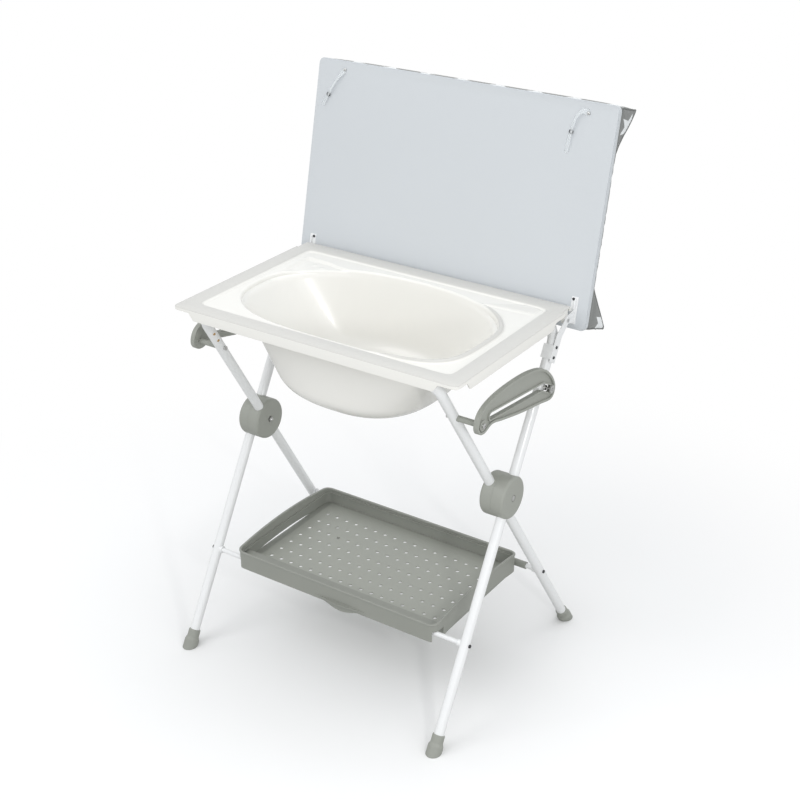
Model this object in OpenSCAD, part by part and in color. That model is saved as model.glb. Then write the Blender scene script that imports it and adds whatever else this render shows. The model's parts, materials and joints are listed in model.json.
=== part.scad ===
// Baby bath stand: a folding cross-leg frame with a moulded tub, a hinged changing
// board with a padded mat, and a perforated storage tray. Millimetres, +Z up.
// The tub's length runs along X, the front is -Y, the origin is on the floor under
// the middle of the whole outline.

/* [Node] */
// Which sub-part is built, all for the whole stand

/* [Tub] */
// Length of the tub over its rim
tub_length = 800; // [790:2:810]
// Depth of the tub over its rim, front to back
tub_width = 526; // [522:2:530]
// Height of the rim's top above the floor
rim_height = 958; // [956:1:962]
// Depth of the bowl from the rim to the inside of its floor
bowl_depth = 220; // [205:5:225]
// Half the length of the bowl's opening
bowl_half_length = 330; // [324:2:332]
// Thickness of the moulded tub
tub_wall = 3.4; // [3:0.2:3.6]
// Depth of the skirt below the rim
skirt_depth = 27; // [24:1:30]

/* [Frame] */
// Outside diameter of the leg tubes
tube_d = 25; // [24:0.5:25]
// Wall of the leg tubes
tube_wall = 1.5; // [1:0.25:2]
// Height of the crossing pivots above the floor
hub_height = 556; // [550:2:560]
// Lean of the inner legs from upright
inner_lean = 32.6; // [32:0.2:33]
// Lean of the outer legs from upright
outer_lean = 29.5; // [29:0.5:30]
// Sideways splay of the inner legs
splay = 2.5; // [2:0.1:2.6]
// Diameter of the cross tubes
cross_d = 12.5; // [12:0.5:13]
// Diameter of the hub housings
hub_d = 108; // [100:2:112]
// Diameter of the plastic feet at the floor
foot_d = 38; // [36:1:40]

/* [Stay links] */
// Distance from the hub to a stay link's pivot on the inner leg
link_pivot_reach = 326; // [324:1:328]
// Distance from the hub to the headed pin on the outer leg
slot_pin_reach = 274; // [272:1:276]
// Width of the stay link's slot
slot_width = 17; // [16.5:0.5:18]

/* [Board] */
// Length of the changing board
board_length = 860; // [850:2:864]
// Width of the changing board
board_width = 536; // [530:2:540]
// Thickness of the changing board
board_thick = 12; // [10:1:14]
// Backward tilt of the opened board
board_tilt = 12.2; // [10:0.2:14]
// Height of the front bolster above the board
bolster_low = 107; // [97:2:109]
// Height of the rear bolster above the board
bolster_high = 87; // [77:2:91]

/* [Tray] */
// Half the length of the tray
tray_half = 307; // [300:1:309]
// Diameter of the tray's drain holes
tray_hole_d = 10; // [8:1:11]

/* [Hidden] */
$fn = 48;
slide = 0.06;                 // radial running clearance of pins
seat = 0.3;                   // gap where one body rests on another
tube_r = tube_d / 2;
bore_r = tube_r - tube_wall;
outer_x = tub_length / 2 - 16;  // outer leg, under the tub's end
inner_x = outer_x - 32.5;     // inner leg at the hub
hub_seam = outer_x - 15.6;    // where the hub's halves meet
bolt_d = 8;
pin_d = 6;
screw_d = 5;

// tub
tub_mid_y = -4;
tub_half = tub_length / 2;
tub_deep = tub_width / 2;
border = 42;                  // flat border round the rim
border_step = 5;
border_under = rim_height - tub_wall;
plateau = rim_height - border_step;
plateau_under = plateau - tub_wall;
bowl_front = tub_deep - 59;
bowl_back = tub_deep - 65;
bowl_round = 50;              // radius of the bowl's bottom edge
drain_r = 24;
drain_x = 20;
drain_dip = 3;                 // how far the drain sits below the floor's edge

// hinge line of tub and board
hinge_y = tub_mid_y + tub_deep - 24;
hinge_z = rim_height - 27;
board_lift = 37.5;            // from the hinge line to the board's underside
board_low = -27;              // board's lower edge along its slope
hinge_pin_d = 6;
lug_x = tub_half - 15.4;
lug_end = lug_x + 7.8;
leaf_x = lug_end + 1;
leaf_end = leaf_x + 2.6;
cheek_x = leaf_end + 0.6;
cheek_end = cheek_x + 2;

// outer frame
outer_bend = 60;
outer_top = (plateau_under - seat - tube_r - hub_height) / cos(outer_lean);
outer_floor = hub_height / cos(outer_lean);
// inner legs
inner_bend = 50;
inner_top = (border_under - seat - tube_r - hub_height) / cos(inner_lean);
inner_floor = hub_height / cos(inner_lean) / cos(splay);
bend_w = inner_top - inner_bend + inner_bend * sin(splay);
bend_x = inner_x - bend_w * tan(splay);
bend_mid_x = bend_x - inner_bend * cos(splay);
bend_mid_w = inner_top - inner_bend;
stub_len = 5;
foot_gap = 14;                // tube end above the floor inside a foot

// cross tubes, measured down the legs from the hub
front_cross_w = -368.8;
rear_cross_w = -389.3;
front_cross = [front_cross_w * sin(outer_lean), hub_height + front_cross_w * cos(outer_lean)];
rear_cross = [-rear_cross_w * sin(inner_lean), hub_height + rear_cross_w * cos(inner_lean)];
rear_leg_x = inner_x - rear_cross_w * tan(splay);

// stay links, points as [y, z] from the hub
link_web = 8;
link_thick = 12;
link_in = outer_x + 18;
link_plate = link_in + link_web;
link_out = link_in + link_thick;
link_pivot = [-link_pivot_reach * sin(inner_lean), link_pivot_reach * cos(inner_lean)];
slot_pin = [slot_pin_reach * sin(outer_lean), slot_pin_reach * cos(outer_lean)];

// mat on the board, section points as [along the board, out from the hinge line]
mat_face = board_lift + board_thick;
mat_half = board_length / 2 - 2;
mat_stations = 17;
mat_splits = 5;
mat_thin = 7;
mat_crown = 16;
mat_low = board_low + 4;
mat_high = board_low + board_width - 2;
low_tip = [-36, mat_face + bolster_low];
high_tip = [500, mat_face + bolster_high];

// whole outline, so that the origin sits under its middle
function tilted(p) = [hinge_y + p[0] * sin(board_tilt) + p[1] * cos(board_tilt),
                      hinge_z + p[0] * cos(board_tilt) - p[1] * sin(board_tilt)];
front_reach = hub_height * tan(outer_lean) + foot_d / 2 / cos(outer_lean);
back_reach = tilted(high_tip)[0];
hub_y = (front_reach - back_reach) / 2;

/* ---------- helpers ---------- */

module stand() {
    translate([0, hub_y, 0]) children();
}

module side(s) {
    if (s > 0) children();
    else mirror([1, 0, 0]) children();
}

module both() {
    children();
    mirror([1, 0, 0]) children();
}

// z runs up the line of the outer legs, origin on the hub axis
module outer_line() {
    translate([0, 0, hub_height]) rotate([-outer_lean, 0, 0]) children();
}

// the plane in which both inner legs lie
module inner_plane() {
    translate([0, 0, hub_height]) rotate([inner_lean, 0, 0]) children();
}

// z runs up the right inner leg
module inner_line() {
    inner_plane() translate([inner_x, 0, 0]) rotate([0, -splay, 0]) children();
}

// a round bar along X between two stations
module across(x0, x1, d) {
    translate([x0, 0, 0]) rotate([0, 90, 0]) cylinder(h = x1 - x0, d = d);
}

// at a point [y, z] measured from the hub axis
module at_hub(p) {
    translate([0, p[0], hub_height + p[1]]) children();
}

// a flat shape drawn as [y, z] from the hub, given a thickness along X
module plate(x0, x1) {
    translate([x0, 0, hub_height]) rotate([90, 0, 90]) linear_extrude(height = x1 - x0) children();
}

// a smooth closed curve through control points
function spline_at(p, i, t) =
    let (n = len(p), a = p[(i + n - 1) % n], b = p[i], c = p[(i + 1) % n], d = p[(i + 2) % n])
    0.5 * (2 * b + (c - a) * t + (2 * a - 5 * b + 4 * c - d) * t * t
           + (3 * b - a - 3 * c + d) * t * t * t);
function spline(p, steps) = [for (i = [0 : len(p) - 1]) for (k = [0 : steps - 1]) spline_at(p, i, k / steps)];
function edge_normal(p, i) =
    let (n = len(p), d = p[(i + 1) % n] - p[(i + n - 1) % n]) [d[1], -d[0]] / norm(d);
// the same curve moved inward by d, for points that run clockwise
function inward(p, d) = [for (i = [0 : len(p) - 1]) p[i] + d * edge_normal(p, i)];

// one skin between closed loops of points that also closes on itself
module ring_skin(loops) {
    n = len(loops[0]);
    m = len(loops);
    points = [for (l = loops) for (p = l) p];
    faces = [for (j = [0 : m - 1]) for (i = [0 : n - 1])
             let (a = j * n + i, b = j * n + (i + 1) % n,
                  c = ((j + 1) % m) * n + (i + 1) % n, d = ((j + 1) % m) * n + i)
             for (f = [[a, b, c], [a, c, d]]) f];
    polyhedron(points = points, faces = faces, convexity = 8);
}

/* ---------- frame ---------- */

// the tube as a solid bar of radius r, its open ends grown for cutting the bore
module outer_bar(r, grow) {
    leg = outer_floor - foot_gap + outer_top - outer_bend + grow;
    both() translate([outer_x - outer_bend, 0, outer_top - outer_bend]) {
        translate([outer_bend, 0, 0]) translate([0, 0, -leg]) cylinder(h = leg, r = r);
        rotate([90, 0, 0]) rotate_extrude(angle = 90) translate([outer_bend, 0]) circle(r = r);
        translate([0, 0, outer_bend]) rotate([0, -90, 0]) cylinder(h = outer_x - outer_bend, r = r);
    }
}

bracket_screws_w = [347, 372];

module outer_frame_tube() {
    color("white") stand() outer_line() difference() {
        outer_bar(tube_r, 0);
        outer_bar(bore_r, 1);
        both() across(outer_x - 20, outer_x + 20, bolt_d + 2 * slide);
        both() translate([0, 0, front_cross_w]) across(outer_x - 20, outer_x + 20, screw_d);
        both() translate([0, 0, slot_pin_reach]) across(outer_x - 20, outer_x + 20, pin_d);
        for (w = bracket_screws_w)
            both() translate([0, 0, w]) across(outer_x + 5, outer_x + 20, 4);
    }
}

// x and z as in the upper bend: origin at its centre, the leg straight down at x = inner_bend
module bend_frame() {
    inner_plane() translate([bend_mid_x, 0, bend_mid_w]) rotate([0, -splay, 0]) children();
}

module inner_bar(r, grow) {
    leg = inner_floor - foot_gap + bend_w / cos(splay) + grow;
    bend_frame() {
        translate([inner_bend, 0, 0]) translate([0, 0, -leg]) cylinder(h = leg, r = r);
        rotate([90, 0, 0]) rotate_extrude(angle = 90) translate([inner_bend, 0]) circle(r = r);
        translate([0, 0, inner_bend]) rotate([0, -90, 0]) cylinder(h = stub_len + grow, r = r);
    }
}

rivets_w = [389, 362];
rivet_turn = 16;
rivet_rise = 1.6;
rivet_d = 4;

// the rivets face the other leg, a little to the front; z runs into the tube
module rivet_places() {
    for (w = rivets_w)
        inner_line() translate([0, 0, w]) rotate([0, 0, rivet_turn])
            translate([-tube_r - rivet_rise, 0, 0]) rotate([0, 90, 0]) children();
}

module inner_leg() {
    difference() {
        inner_bar(tube_r, 0);
        inner_bar(bore_r, 1);
        at_hub([0, 0]) across(inner_x - 20, inner_x + 20, bolt_d + 2 * slide);
        at_hub(link_pivot) across(inner_x - 40, inner_x + 20, pin_d);
        translate([0, rear_cross[0], rear_cross[1]]) across(rear_leg_x - 20, rear_leg_x + 20, screw_d);
        rivet_places() cylinder(h = 8, d = rivet_d);
    }
}

module inner_leg_left() {
    color("white") stand() side(-1) inner_leg();
}

module inner_leg_right() {
    color("white") stand() side(1) inner_leg();
}

plug_cap = 2;

module tube_plug() {
    bend_frame() translate([-stub_len, 0, inner_bend]) rotate([0, 90, 0]) {
        translate([0, 0, -plug_cap]) cylinder(h = plug_cap, r = tube_r);
        cylinder(h = stub_len, r = bore_r);
    }
}

module tube_plug_left() {
    color("dimgray") stand() side(-1) tube_plug();
}

module tube_plug_right() {
    color("dimgray") stand() side(1) tube_plug();
}

rivet_drop = 4;

module leg_rivets() {
    color("goldenrod") stand() both() rivet_places() {
        cylinder(h = rivet_rise + 0.3, d1 = 4.5, d2 = 7.5);
        cylinder(h = rivet_rise + rivet_drop, d = rivet_d);
    }
}

// a cross tube with saddle collars where it meets the legs
collar_d = 19;
collar_h = 5;

module front_cross_tube() {
    reach = outer_x - 6;
    collar = outer_x - tube_r - collar_h;
    color("white") stand() difference() {
        translate([0, front_cross[0], front_cross[1]]) {
            across(-reach, reach, cross_d);
            both() across(collar, reach, collar_d);
        }
        translate([0, front_cross[0], front_cross[1]]) across(-reach - 1, reach + 1, 9);
        both() outer_line() translate([outer_x, 0, front_cross_w - 30]) cylinder(h = 60, r = tube_r);
    }
}

module rear_cross_tube() {
    reach = rear_leg_x - 6;
    sleeve_side = rear_leg_x - tube_r - collar_h;
    color("white") stand() difference() {
        translate([0, rear_cross[0], rear_cross[1]]) {
            across(-reach, reach, cross_d);
            both() across(sleeve_side, reach, collar_d);
        }
        translate([0, rear_cross[0], rear_cross[1]]) across(-reach - 1, reach + 1, 9);
        both() inner_line() translate([0, 0, rear_cross_w - 30]) cylinder(h = 60, r = tube_r);
    }
}

// a screw through the leg with its sleeve nut inside the cross tube
module cross_screw(leg_x, leg_half) {
    across(leg_x - leg_half - 20, leg_x - leg_half - 1.5, 9);
    across(leg_x - leg_half - 2, leg_x + leg_half, screw_d);
    across(leg_x + leg_half - 0.4, leg_x + leg_half + 2.6, 9);
}

module front_cross_screws() {
    color("dimgray") stand() both()
        translate([0, front_cross[0], front_cross[1]]) cross_screw(outer_x, tube_r);
}

module rear_cross_screws() {
    color("dimgray") stand() both()
        translate([0, rear_cross[0], rear_cross[1]]) cross_screw(rear_leg_x, tube_r);
}

/* ---------- feet ---------- */

foot_sleeve_d = 31;
foot_h = 46;

module foot_shape() {
    translate([0, 0, -25]) cylinder(h = 43, d = foot_d);
    translate([0, 0, 18]) cylinder(h = 8, d1 = foot_d, d2 = foot_sleeve_d);
    translate([0, 0, 26]) cylinder(h = foot_h - 28, d = foot_sleeve_d);
    translate([0, 0, foot_h - 2]) cylinder(h = 2, d1 = foot_sleeve_d, d2 = foot_sleeve_d - 3);
}

module under_floor() {
    translate([0, 0, -50]) cube([1200, 1200, 100], center = true);
}

module foot_front() {
    difference() {
        outer_line() translate([outer_x, 0, -outer_floor]) foot_shape();
        outer_line() translate([outer_x, 0, -outer_floor + foot_gap]) cylinder(h = foot_h, r = tube_r);
        under_floor();
    }
}

module foot_rear() {
    difference() {
        inner_line() translate([0, 0, -inner_floor]) foot_shape();
        inner_line() translate([0, 0, -inner_floor + foot_gap]) cylinder(h = foot_h, r = tube_r);
        under_floor();
    }
}

module foot_front_left() {
    color("gray") stand() side(-1) foot_front();
}

module foot_front_right() {
    color("gray") stand() side(1) foot_front();
}

module foot_rear_left() {
    color("gray") stand() side(-1) foot_rear();
}

module foot_rear_right() {
    color("gray") stand() side(1) foot_rear();
}

/* ---------- hubs ---------- */

hub_inner_face = inner_x - 16.5;
hub_outer_face = outer_x + 16.4;
hub_edge = 8;
recess_d = 17;
recess_h = 3;

// a disc with one rounded edge, along X from its flat face
module hub_disc(thick) {
    r = hub_d / 2;
    rotate([0, 90, 0]) rotate_extrude() {
        square([r - hub_edge, thick]);
        square([r, thick - hub_edge]);
        translate([r - hub_edge, thick - hub_edge]) intersection() {
            circle(r = hub_edge);
            square(hub_edge);
        }
    }
}

module hub_outer() {
    start = hub_seam + seat;
    difference() {
        at_hub([0, 0]) translate([start, 0, 0]) hub_disc(hub_outer_face - start);
        outer_line() translate([outer_x, 0, -hub_d]) cylinder(h = 2 * hub_d, r = tube_r);
        at_hub([0, 0]) across(start - 1, hub_outer_face + 1, bolt_d + 2 * slide);
        at_hub([0, 0]) across(hub_outer_face - recess_h, hub_outer_face + 1, recess_d);
    }
}

module hub_inner() {
    difference() {
        at_hub([0, 0]) translate([hub_seam, 0, 0]) mirror([1, 0, 0]) hub_disc(hub_seam - hub_inner_face);
        inner_line() translate([0, 0, -hub_d]) cylinder(h = 2 * hub_d, r = tube_r);
        at_hub([0, 0]) across(hub_inner_face - 1, hub_seam + 1, bolt_d + 2 * slide);
        at_hub([0, 0]) across(hub_inner_face - 1, hub_inner_face + recess_h, recess_d);
    }
}

module hub_bolt() {
    at_hub([0, 0]) {
        across(hub_inner_face - 2, hub_outer_face, bolt_d);
        across(hub_outer_face - recess_h, hub_outer_face - 0.4, 14);
        across(hub_inner_face - 2.2, hub_inner_face + recess_h - seat, 13);
        translate([hub_inner_face - 2.2, 0, 0]) sphere(d = 11);
    }
}

module hub_outer_left() {
    color("gray") stand() side(-1) hub_outer();
}

module hub_outer_right() {
    color("gray") stand() side(1) hub_outer();
}

module hub_inner_left() {
    color("gray") stand() side(-1) hub_inner();
}

module hub_inner_right() {
    color("gray") stand() side(1) hub_inner();
}

module hub_bolt_left() {
    color("silver") stand() side(-1) hub_bolt();
}

module hub_bolt_right() {
    color("silver") stand() side(1) hub_bolt();
}

/* ---------- stay links ---------- */

// outline points as [y, z] from the hub, clockwise seen from +X mirrored into the plate
link_outline = spline([
    [-199, 279], [-186, 306], [-150, 322], [-92, 329], [-12, 328], [50, 320], [100, 304],
    [140, 271], [158, 236], [141, 211], [80, 220], [-6, 234], [-90, 252], [-135, 262],
    [-168, 253], [-191, 259]], 5);
link_ridge = 6;
link_boss_d = 26;
slot_rim = 7;
bush_d = 14.5;

// straight part of the slot: its ends sit above the line from pivot to pin
slot_dir = (slot_pin - link_pivot) / norm(slot_pin - link_pivot);
slot_up = [-slot_dir[1], slot_dir[0]];
slot_front = link_pivot + 34 * slot_dir + 13.5 * slot_up;
slot_rear = link_pivot + 271 * slot_dir + 16.2 * slot_up;

// a band of width w along a to b with round ends, as one outline
slot_steps = 10;
function slot_outline(a, b, w) =
    let (t = atan2(b[1] - a[1], b[0] - a[0]), r = w / 2)
    concat([for (i = [0 : slot_steps]) let (q = t - 90 + 180 * i / slot_steps) b + r * [cos(q), sin(q)]],
           [for (i = [0 : slot_steps]) let (q = t + 90 + 180 * i / slot_steps) a + r * [cos(q), sin(q)]]);

module slot_between(a, b, w) {
    polygon(slot_outline(a, b, w));
}

module link_slot() {
    slot_between(slot_front, slot_rear, slot_width);
    slot_between(slot_rear, slot_pin, slot_width);
}

module link_ring() {
    difference() {
        polygon(link_outline);
        polygon(inward(link_outline, link_ridge));
    }
}

module stay_link() {
    difference() {
        union() {
            plate(link_in, link_plate) polygon(link_outline);
            plate(link_in, link_out) link_ring();
            plate(link_in, link_out) slot_between(slot_front, slot_rear, slot_width + slot_rim);
            plate(link_in, link_out) slot_between(slot_rear, slot_pin, slot_width + slot_rim);
            at_hub(link_pivot) across(link_in, link_out, link_boss_d);
        }
        plate(link_in - 1, link_out + 1) link_slot();
        at_hub(link_pivot) across(link_in - 1, link_out + 1, pin_d + 2 * slide);
    }
}

module stay_link_left() {
    color("gray") stand() side(-1) stay_link();
}

module stay_link_right() {
    color("gray") stand() side(1) stay_link();
}

module link_bush() {
    difference() {
        at_hub(link_pivot) across(inner_x - 25, link_in - seat, bush_d);
        at_hub(link_pivot) across(inner_x - 30, link_in + 1, pin_d);
        inner_line() translate([0, 0, link_pivot_reach - 40]) cylinder(h = 80, r = tube_r);
        at_hub(link_pivot) across(inner_x - 60, inner_x - 14.5, 40);
    }
}

module link_bush_left() {
    color("gray") stand() side(-1) link_bush();
}

module link_bush_right() {
    color("gray") stand() side(1) link_bush();
}

pivot_leg_x = inner_x - link_pivot_reach * tan(splay);

module link_bolt() {
    at_hub(link_pivot) {
        across(pivot_leg_x - tube_r - 1, link_out + 1, pin_d);
        across(link_out + seat, link_out + seat + 3, 13);
        across(pivot_leg_x - tube_r - 5, pivot_leg_x - tube_r - 0.2, 11);
    }
}

module link_bolt_left() {
    color("silver") stand() side(-1) link_bolt();
}

module link_bolt_right() {
    color("silver") stand() side(1) link_bolt();
}

module slot_pin_shape() {
    difference() {
        at_hub(slot_pin) {
            across(outer_x - 18, link_out + 2, pin_d);
            across(outer_x, link_in - seat, 13);
            across(link_out + seat, link_out + seat + 4, 20);
            across(outer_x - 22, outer_x - 6, 11);
        }
        difference() {
            outer_line() translate([outer_x, 0, slot_pin_reach - 30]) cylinder(h = 60, r = tube_r);
            at_hub(slot_pin) across(outer_x - 30, link_out, pin_d);
        }
        at_hub(slot_pin) across(link_out + seat + 1.6, link_out + seat + 5, 7);
    }
}

module slot_pin_left() {
    color("silver") stand() side(-1) slot_pin_shape();
}

module slot_pin_right() {
    color("silver") stand() side(1) slot_pin_shape();
}

/* ---------- hinge brackets ---------- */

bracket_low = 334;
bracket_front_low = 341;
bracket_top = 402;
ear_r = 10;
hinge_w = (hinge_z - hub_height) * cos(outer_lean) + hinge_y * sin(outer_lean);
hinge_off = hinge_y * cos(outer_lean) - (hinge_z - hub_height) * sin(outer_lean);

module hinge_bracket() {
    difference() {
        outer_line() {
            // cheek on the outside of the leg
            translate([cheek_x, -tube_r - 2, bracket_low])
                cube([cheek_end - cheek_x, tube_d + 3, bracket_top - bracket_low]);
            // flange across the front of the leg
            translate([outer_x - 13, -tube_r - 2, bracket_front_low])
                cube([cheek_end - outer_x + 13, 2, 34]);
            // arm up to the hinge pin
            translate([cheek_x, 0, 0]) rotate([90, 0, 90]) linear_extrude(height = cheek_end - cheek_x)
                polygon([[-tube_r - 2, bracket_top - 1], [tube_r - 3, bracket_top - 12],
                         [hinge_off + ear_r, hinge_w], [hinge_off - ear_r * 0.8, hinge_w + ear_r * 0.6]]);
            translate([0, hinge_off, hinge_w]) across(cheek_x, cheek_end, 2 * ear_r);
        }
        outer_line() translate([0, hinge_off, hinge_w]) across(cheek_x - 1, cheek_end + 1, hinge_pin_d);
        for (w = bracket_screws_w)
            outer_line() translate([0, 0, w]) across(cheek_x - 1, cheek_end + 1, 4);
    }
}

module hinge_bracket_left() {
    color("white") stand() side(-1) hinge_bracket();
}

module hinge_bracket_right() {
    color("white") stand() side(1) hinge_bracket();
}

module bracket_screws() {
    color("dimgray") stand() both() for (w = bracket_screws_w) outer_line() translate([0, 0, w]) {
        across(outer_x + 7, cheek_end + 0.5, 4);
        across(cheek_end, cheek_end + 1.6, 7.5);
    }
}

module hinge_pin() {
    translate([0, hinge_y, hinge_z]) {
        across(lug_x - 3, cheek_end + 1, hinge_pin_d);
        across(cheek_end, cheek_end + 1.8, 10);
        across(lug_x - 3.2, lug_x - 0.6, 9);
    }
}

module hinge_pin_left() {
    color("silver") stand() side(-1) hinge_pin();
}

module hinge_pin_right() {
    color("silver") stand() side(1) hinge_pin();
}

/* ---------- tub ---------- */

skirt_end_x = tub_half - 55;            // where the front and rear skirts step up
skirt_end_y = 50;             // where the side skirts begin, behind the front edge
skirt_back_y = 92;            // where the side skirts step up near the hinges
corner_lip = 9;               // skirt depth at the corners
hinge_lip = 11;               // skirt depth above the hinge brackets
skirt_blend = 9;

function smooth(t) = let (u = max(0, min(1, t))) u * u * (3 - 2 * u);
function mix(a, b, t) = a + (b - a) * t;
function backward(l) = [for (i = [len(l) - 1 : -1 : 0]) l[i]];

// stations round the rim, seen from the middle of the tub
stops_x = concat([for (k = [0 : 3]) skirt_end_x + skirt_blend * (k / 3 * 2 - 1)], [tub_half - 16]);
stops_mid = [for (x = [-300 : 50 : 300]) x];
long_side = concat([for (k = [4 : -1 : 0]) -stops_x[k]], stops_mid, stops_x);
stops_front = [16, for (k = [0 : 3]) skirt_end_y + skirt_blend * (k / 3 * 2 - 1)];
stops_back = [for (k = [0 : 3]) tub_width - skirt_back_y + skirt_blend * (k / 3 * 2 - 1),
              tub_width - 40, tub_width - 16];
short_mid = [for (y = [100 : 46 : 376]) y];
short_side = [for (y = concat(stops_front, short_mid, stops_back)) y - tub_deep];
rim_points = concat(
    [[-tub_half, -tub_deep]], [for (x = long_side) [x, -tub_deep]],
    [[tub_half, -tub_deep]], [for (y = short_side) [tub_half, y]],
    [[tub_half, tub_deep]], [for (i = [len(long_side) - 1 : -1 : 0]) [long_side[i], tub_deep]],
    [[-tub_half, tub_deep]], [for (i = [len(short_side) - 1 : -1 : 0]) [-tub_half, short_side[i]]]);
rim_dirs = [for (p = rim_points) p / norm(p)];

// a rounded closed loop: left, right, front and back reach, squareness, height
function reach_at(d, l, r, f, b, n) =
    let (a = d[0] < 0 ? l : r, c = d[1] < 0 ? f : b)
    1 / pow(pow(abs(d[0]) / a, n) + pow(abs(d[1]) / c, n), 1 / n);
function loop(l, r, f, b, n, z) =
    [for (d = rim_dirs) let (q = reach_at(d, l, r, f, b, n)) [q * d[0], tub_mid_y + q * d[1], z]];
function rim_loop(inset, z) =
    loop(tub_half - inset, tub_half - inset, tub_deep - inset, tub_deep - inset, 60, z);

// depth of the skirt at a point of the rim
function skirt_at(p) =
    let (ax = abs(p[0]), fy = p[1] - tub_mid_y + tub_deep, by = tub_width - fy,
         on_end = ax > tub_half - 5,
         s_long = 1 - smooth((ax - skirt_end_x + skirt_blend) / (2 * skirt_blend)),
         s_front = smooth((fy - skirt_end_y + skirt_blend) / (2 * skirt_blend)),
         s_back = smooth((by - skirt_back_y + skirt_blend) / (2 * skirt_blend)),
         low = fy > tub_width / 2 ? hinge_lip : corner_lip,
         s = on_end ? min(s_front, s_back) : s_long)
    mix(low, skirt_depth, s);
function skirt_loop(inset) = [for (p = rim_loop(inset, 0)) [p[0], p[1], rim_height - skirt_at(p)]];

// how far the bowl's wall has come in at a depth below the plateau
bowl_fall = bowl_depth - border_step;
wall_depth = bowl_fall - bowl_round;
slope_left = 100;
slope_right = 112;
slope_front = 15;
slope_back = 10;
floor_square = 2.4;

// squareness of the bowl's mouth: round at the back, nearly square at the front right
function mouth_square(d) = d[1] > 0 ? 2.1 : d[0] < 0 ? 2.8 : 4.5;

// one loop of the bowl; its lip is narrow along the front and back, close to the border
function bowl_loop(depth, inset, out) =
    let (t = depth / bowl_fall, k = depth / wall_depth, deep_out = out > wall_out ? lip_share * out : out)
    [for (d = rim_dirs)
        let (q = reach_at(d, bowl_left - slope_left * k - inset + out,
                          bowl_right - slope_right * k - inset + out,
                          bowl_front - slope_front * k - inset * 1.25 + deep_out,
                          bowl_back - slope_back * k - inset * 1.1 + deep_out,
                          mix(mouth_square(d), floor_square, t)))
        [q * d[0], tub_mid_y + q * d[1], plateau - depth]];
bowl_left = bowl_half_length + 6;
bowl_right = bowl_half_length - 8;
wall_out = tub_wall + 3;
lip_share = 0.6;
function bowl_corner(a, out) =
    bowl_loop(wall_depth + bowl_round * sin(a), bowl_round * (1 - cos(a)), out * cos(a));
function lowered(l, dz) = [for (p = l) [p[0], p[1], p[2] - dz]];
floor_z = plateau - bowl_fall;
drain_seat = 34;
function drain_ring(r, z) = [for (d = rim_dirs) [drain_x + r * d[0], tub_mid_y + r * d[1], z]];
function mixed(a, b) = [for (i = [0 : len(a) - 1]) (a[i] + b[i]) / 2];
wall_steps = 5;
corner_steps = 5;

// top of the wall, with a raised arm rest round the right end
function arm_rest(d) = 6 * smooth((d[0] - 0.5) / 0.25) * smooth((0.7 - d[1]) / 0.3);
function lip_loop(out, dz) =
    let (l = bowl_loop(0, 0, out))
    [for (i = [0 : len(l) - 1]) [l[i][0], l[i][1], l[i][2] - dz + arm_rest(rim_dirs[i])]];

function wall_loops(from, out) = [for (k = [1 : wall_steps])
    bowl_loop(from + (wall_depth - from) * k / wall_steps, 0, out)];
function floor_loops(out, thick) = [for (k = [1 : corner_steps]) let (a = 90 * k / corner_steps)
    lowered(bowl_corner(a, out), thick * sin(a))];
drain_z = floor_z - drain_dip;
inner_floor_loops = floor_loops(-1, 0);
under_floor_loops = floor_loops(tub_wall - 1, tub_wall);
inner_wall_loops = wall_loops(12, -1);
under_wall_loops = wall_loops(12, tub_wall - 1);
under_drain = drain_z - tub_wall;

tub_skin = concat(
    [skirt_loop(0), rim_loop(0, rim_height - 1.5), rim_loop(1.5, rim_height),
     rim_loop(border, rim_height), rim_loop(border + 5, plateau)],
    [lip_loop(13, 0), lip_loop(5, 0), lip_loop(1, 2), lip_loop(-1, 6)],
    inner_wall_loops, inner_floor_loops,
    [mixed(inner_floor_loops[corner_steps - 1], drain_ring(drain_seat, drain_z)),
     drain_ring(drain_seat, drain_z), drain_ring(drain_r, drain_z),
     drain_ring(drain_r, under_drain), drain_ring(drain_seat, under_drain),
     mixed(under_floor_loops[corner_steps - 1], drain_ring(drain_seat, under_drain))],
    backward(under_floor_loops), backward(under_wall_loops),
    [bowl_loop(tub_wall + 2, 0, tub_wall), bowl_loop(tub_wall, 0, tub_wall + 3)],
    [rim_loop(border + 3, plateau_under), rim_loop(border - 2, border_under),
     rim_loop(tub_wall, border_under), skirt_loop(tub_wall)]);

leaf_slot = 19;

module tub_lug() {
    translate([0, hinge_y, hinge_z]) difference() {
        union() {
            across(lug_x, lug_end, 18);
            translate([lug_x, -9, 0]) cube([lug_end - lug_x, 18, border_under - hinge_z + 1]);
        }
        across(lug_x - 1, lug_end + 1, hinge_pin_d + 2 * slide);
    }
}

module tub() {
    color("ivory") stand() difference() {
        union() {
            ring_skin(backward(tub_skin));
            both() tub_lug();
        }
        // slots in the rear corners that the board's hinge leaves swing through
        both() translate([lug_end + 0.4, hinge_y - leaf_slot, hinge_z])
            cube([20, 2 * leaf_slot + 10, 60]);
    }
}

drain_flange = 2;

module drain_outlet() {
    color("white") stand() translate([drain_x, tub_mid_y, 0]) difference() {
        union() {
            translate([0, 0, drain_z]) cylinder(h = drain_flange, r = drain_r + 8);
            translate([0, 0, floor_z - 40]) cylinder(h = 38, r = drain_r - 1);
            translate([0, 0, under_drain - 8]) cylinder(h = 8, r = drain_r + 7);
        }
        translate([0, 0, floor_z - 41]) cylinder(h = 50, r = drain_r - 4);
    }
}

module drain_plug() {
    color("white") stand() translate([drain_x, tub_mid_y, 0]) {
        translate([0, 0, drain_z + drain_flange]) cylinder(h = 3, r = drain_r + 1);
        translate([0, 0, floor_z - 12]) cylinder(h = 12, r = drain_r - 4);
        translate([-12, -1.5, floor_z + 1]) cube([24, 3, 9]);
    }
}

/* ---------- board ---------- */

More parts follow.
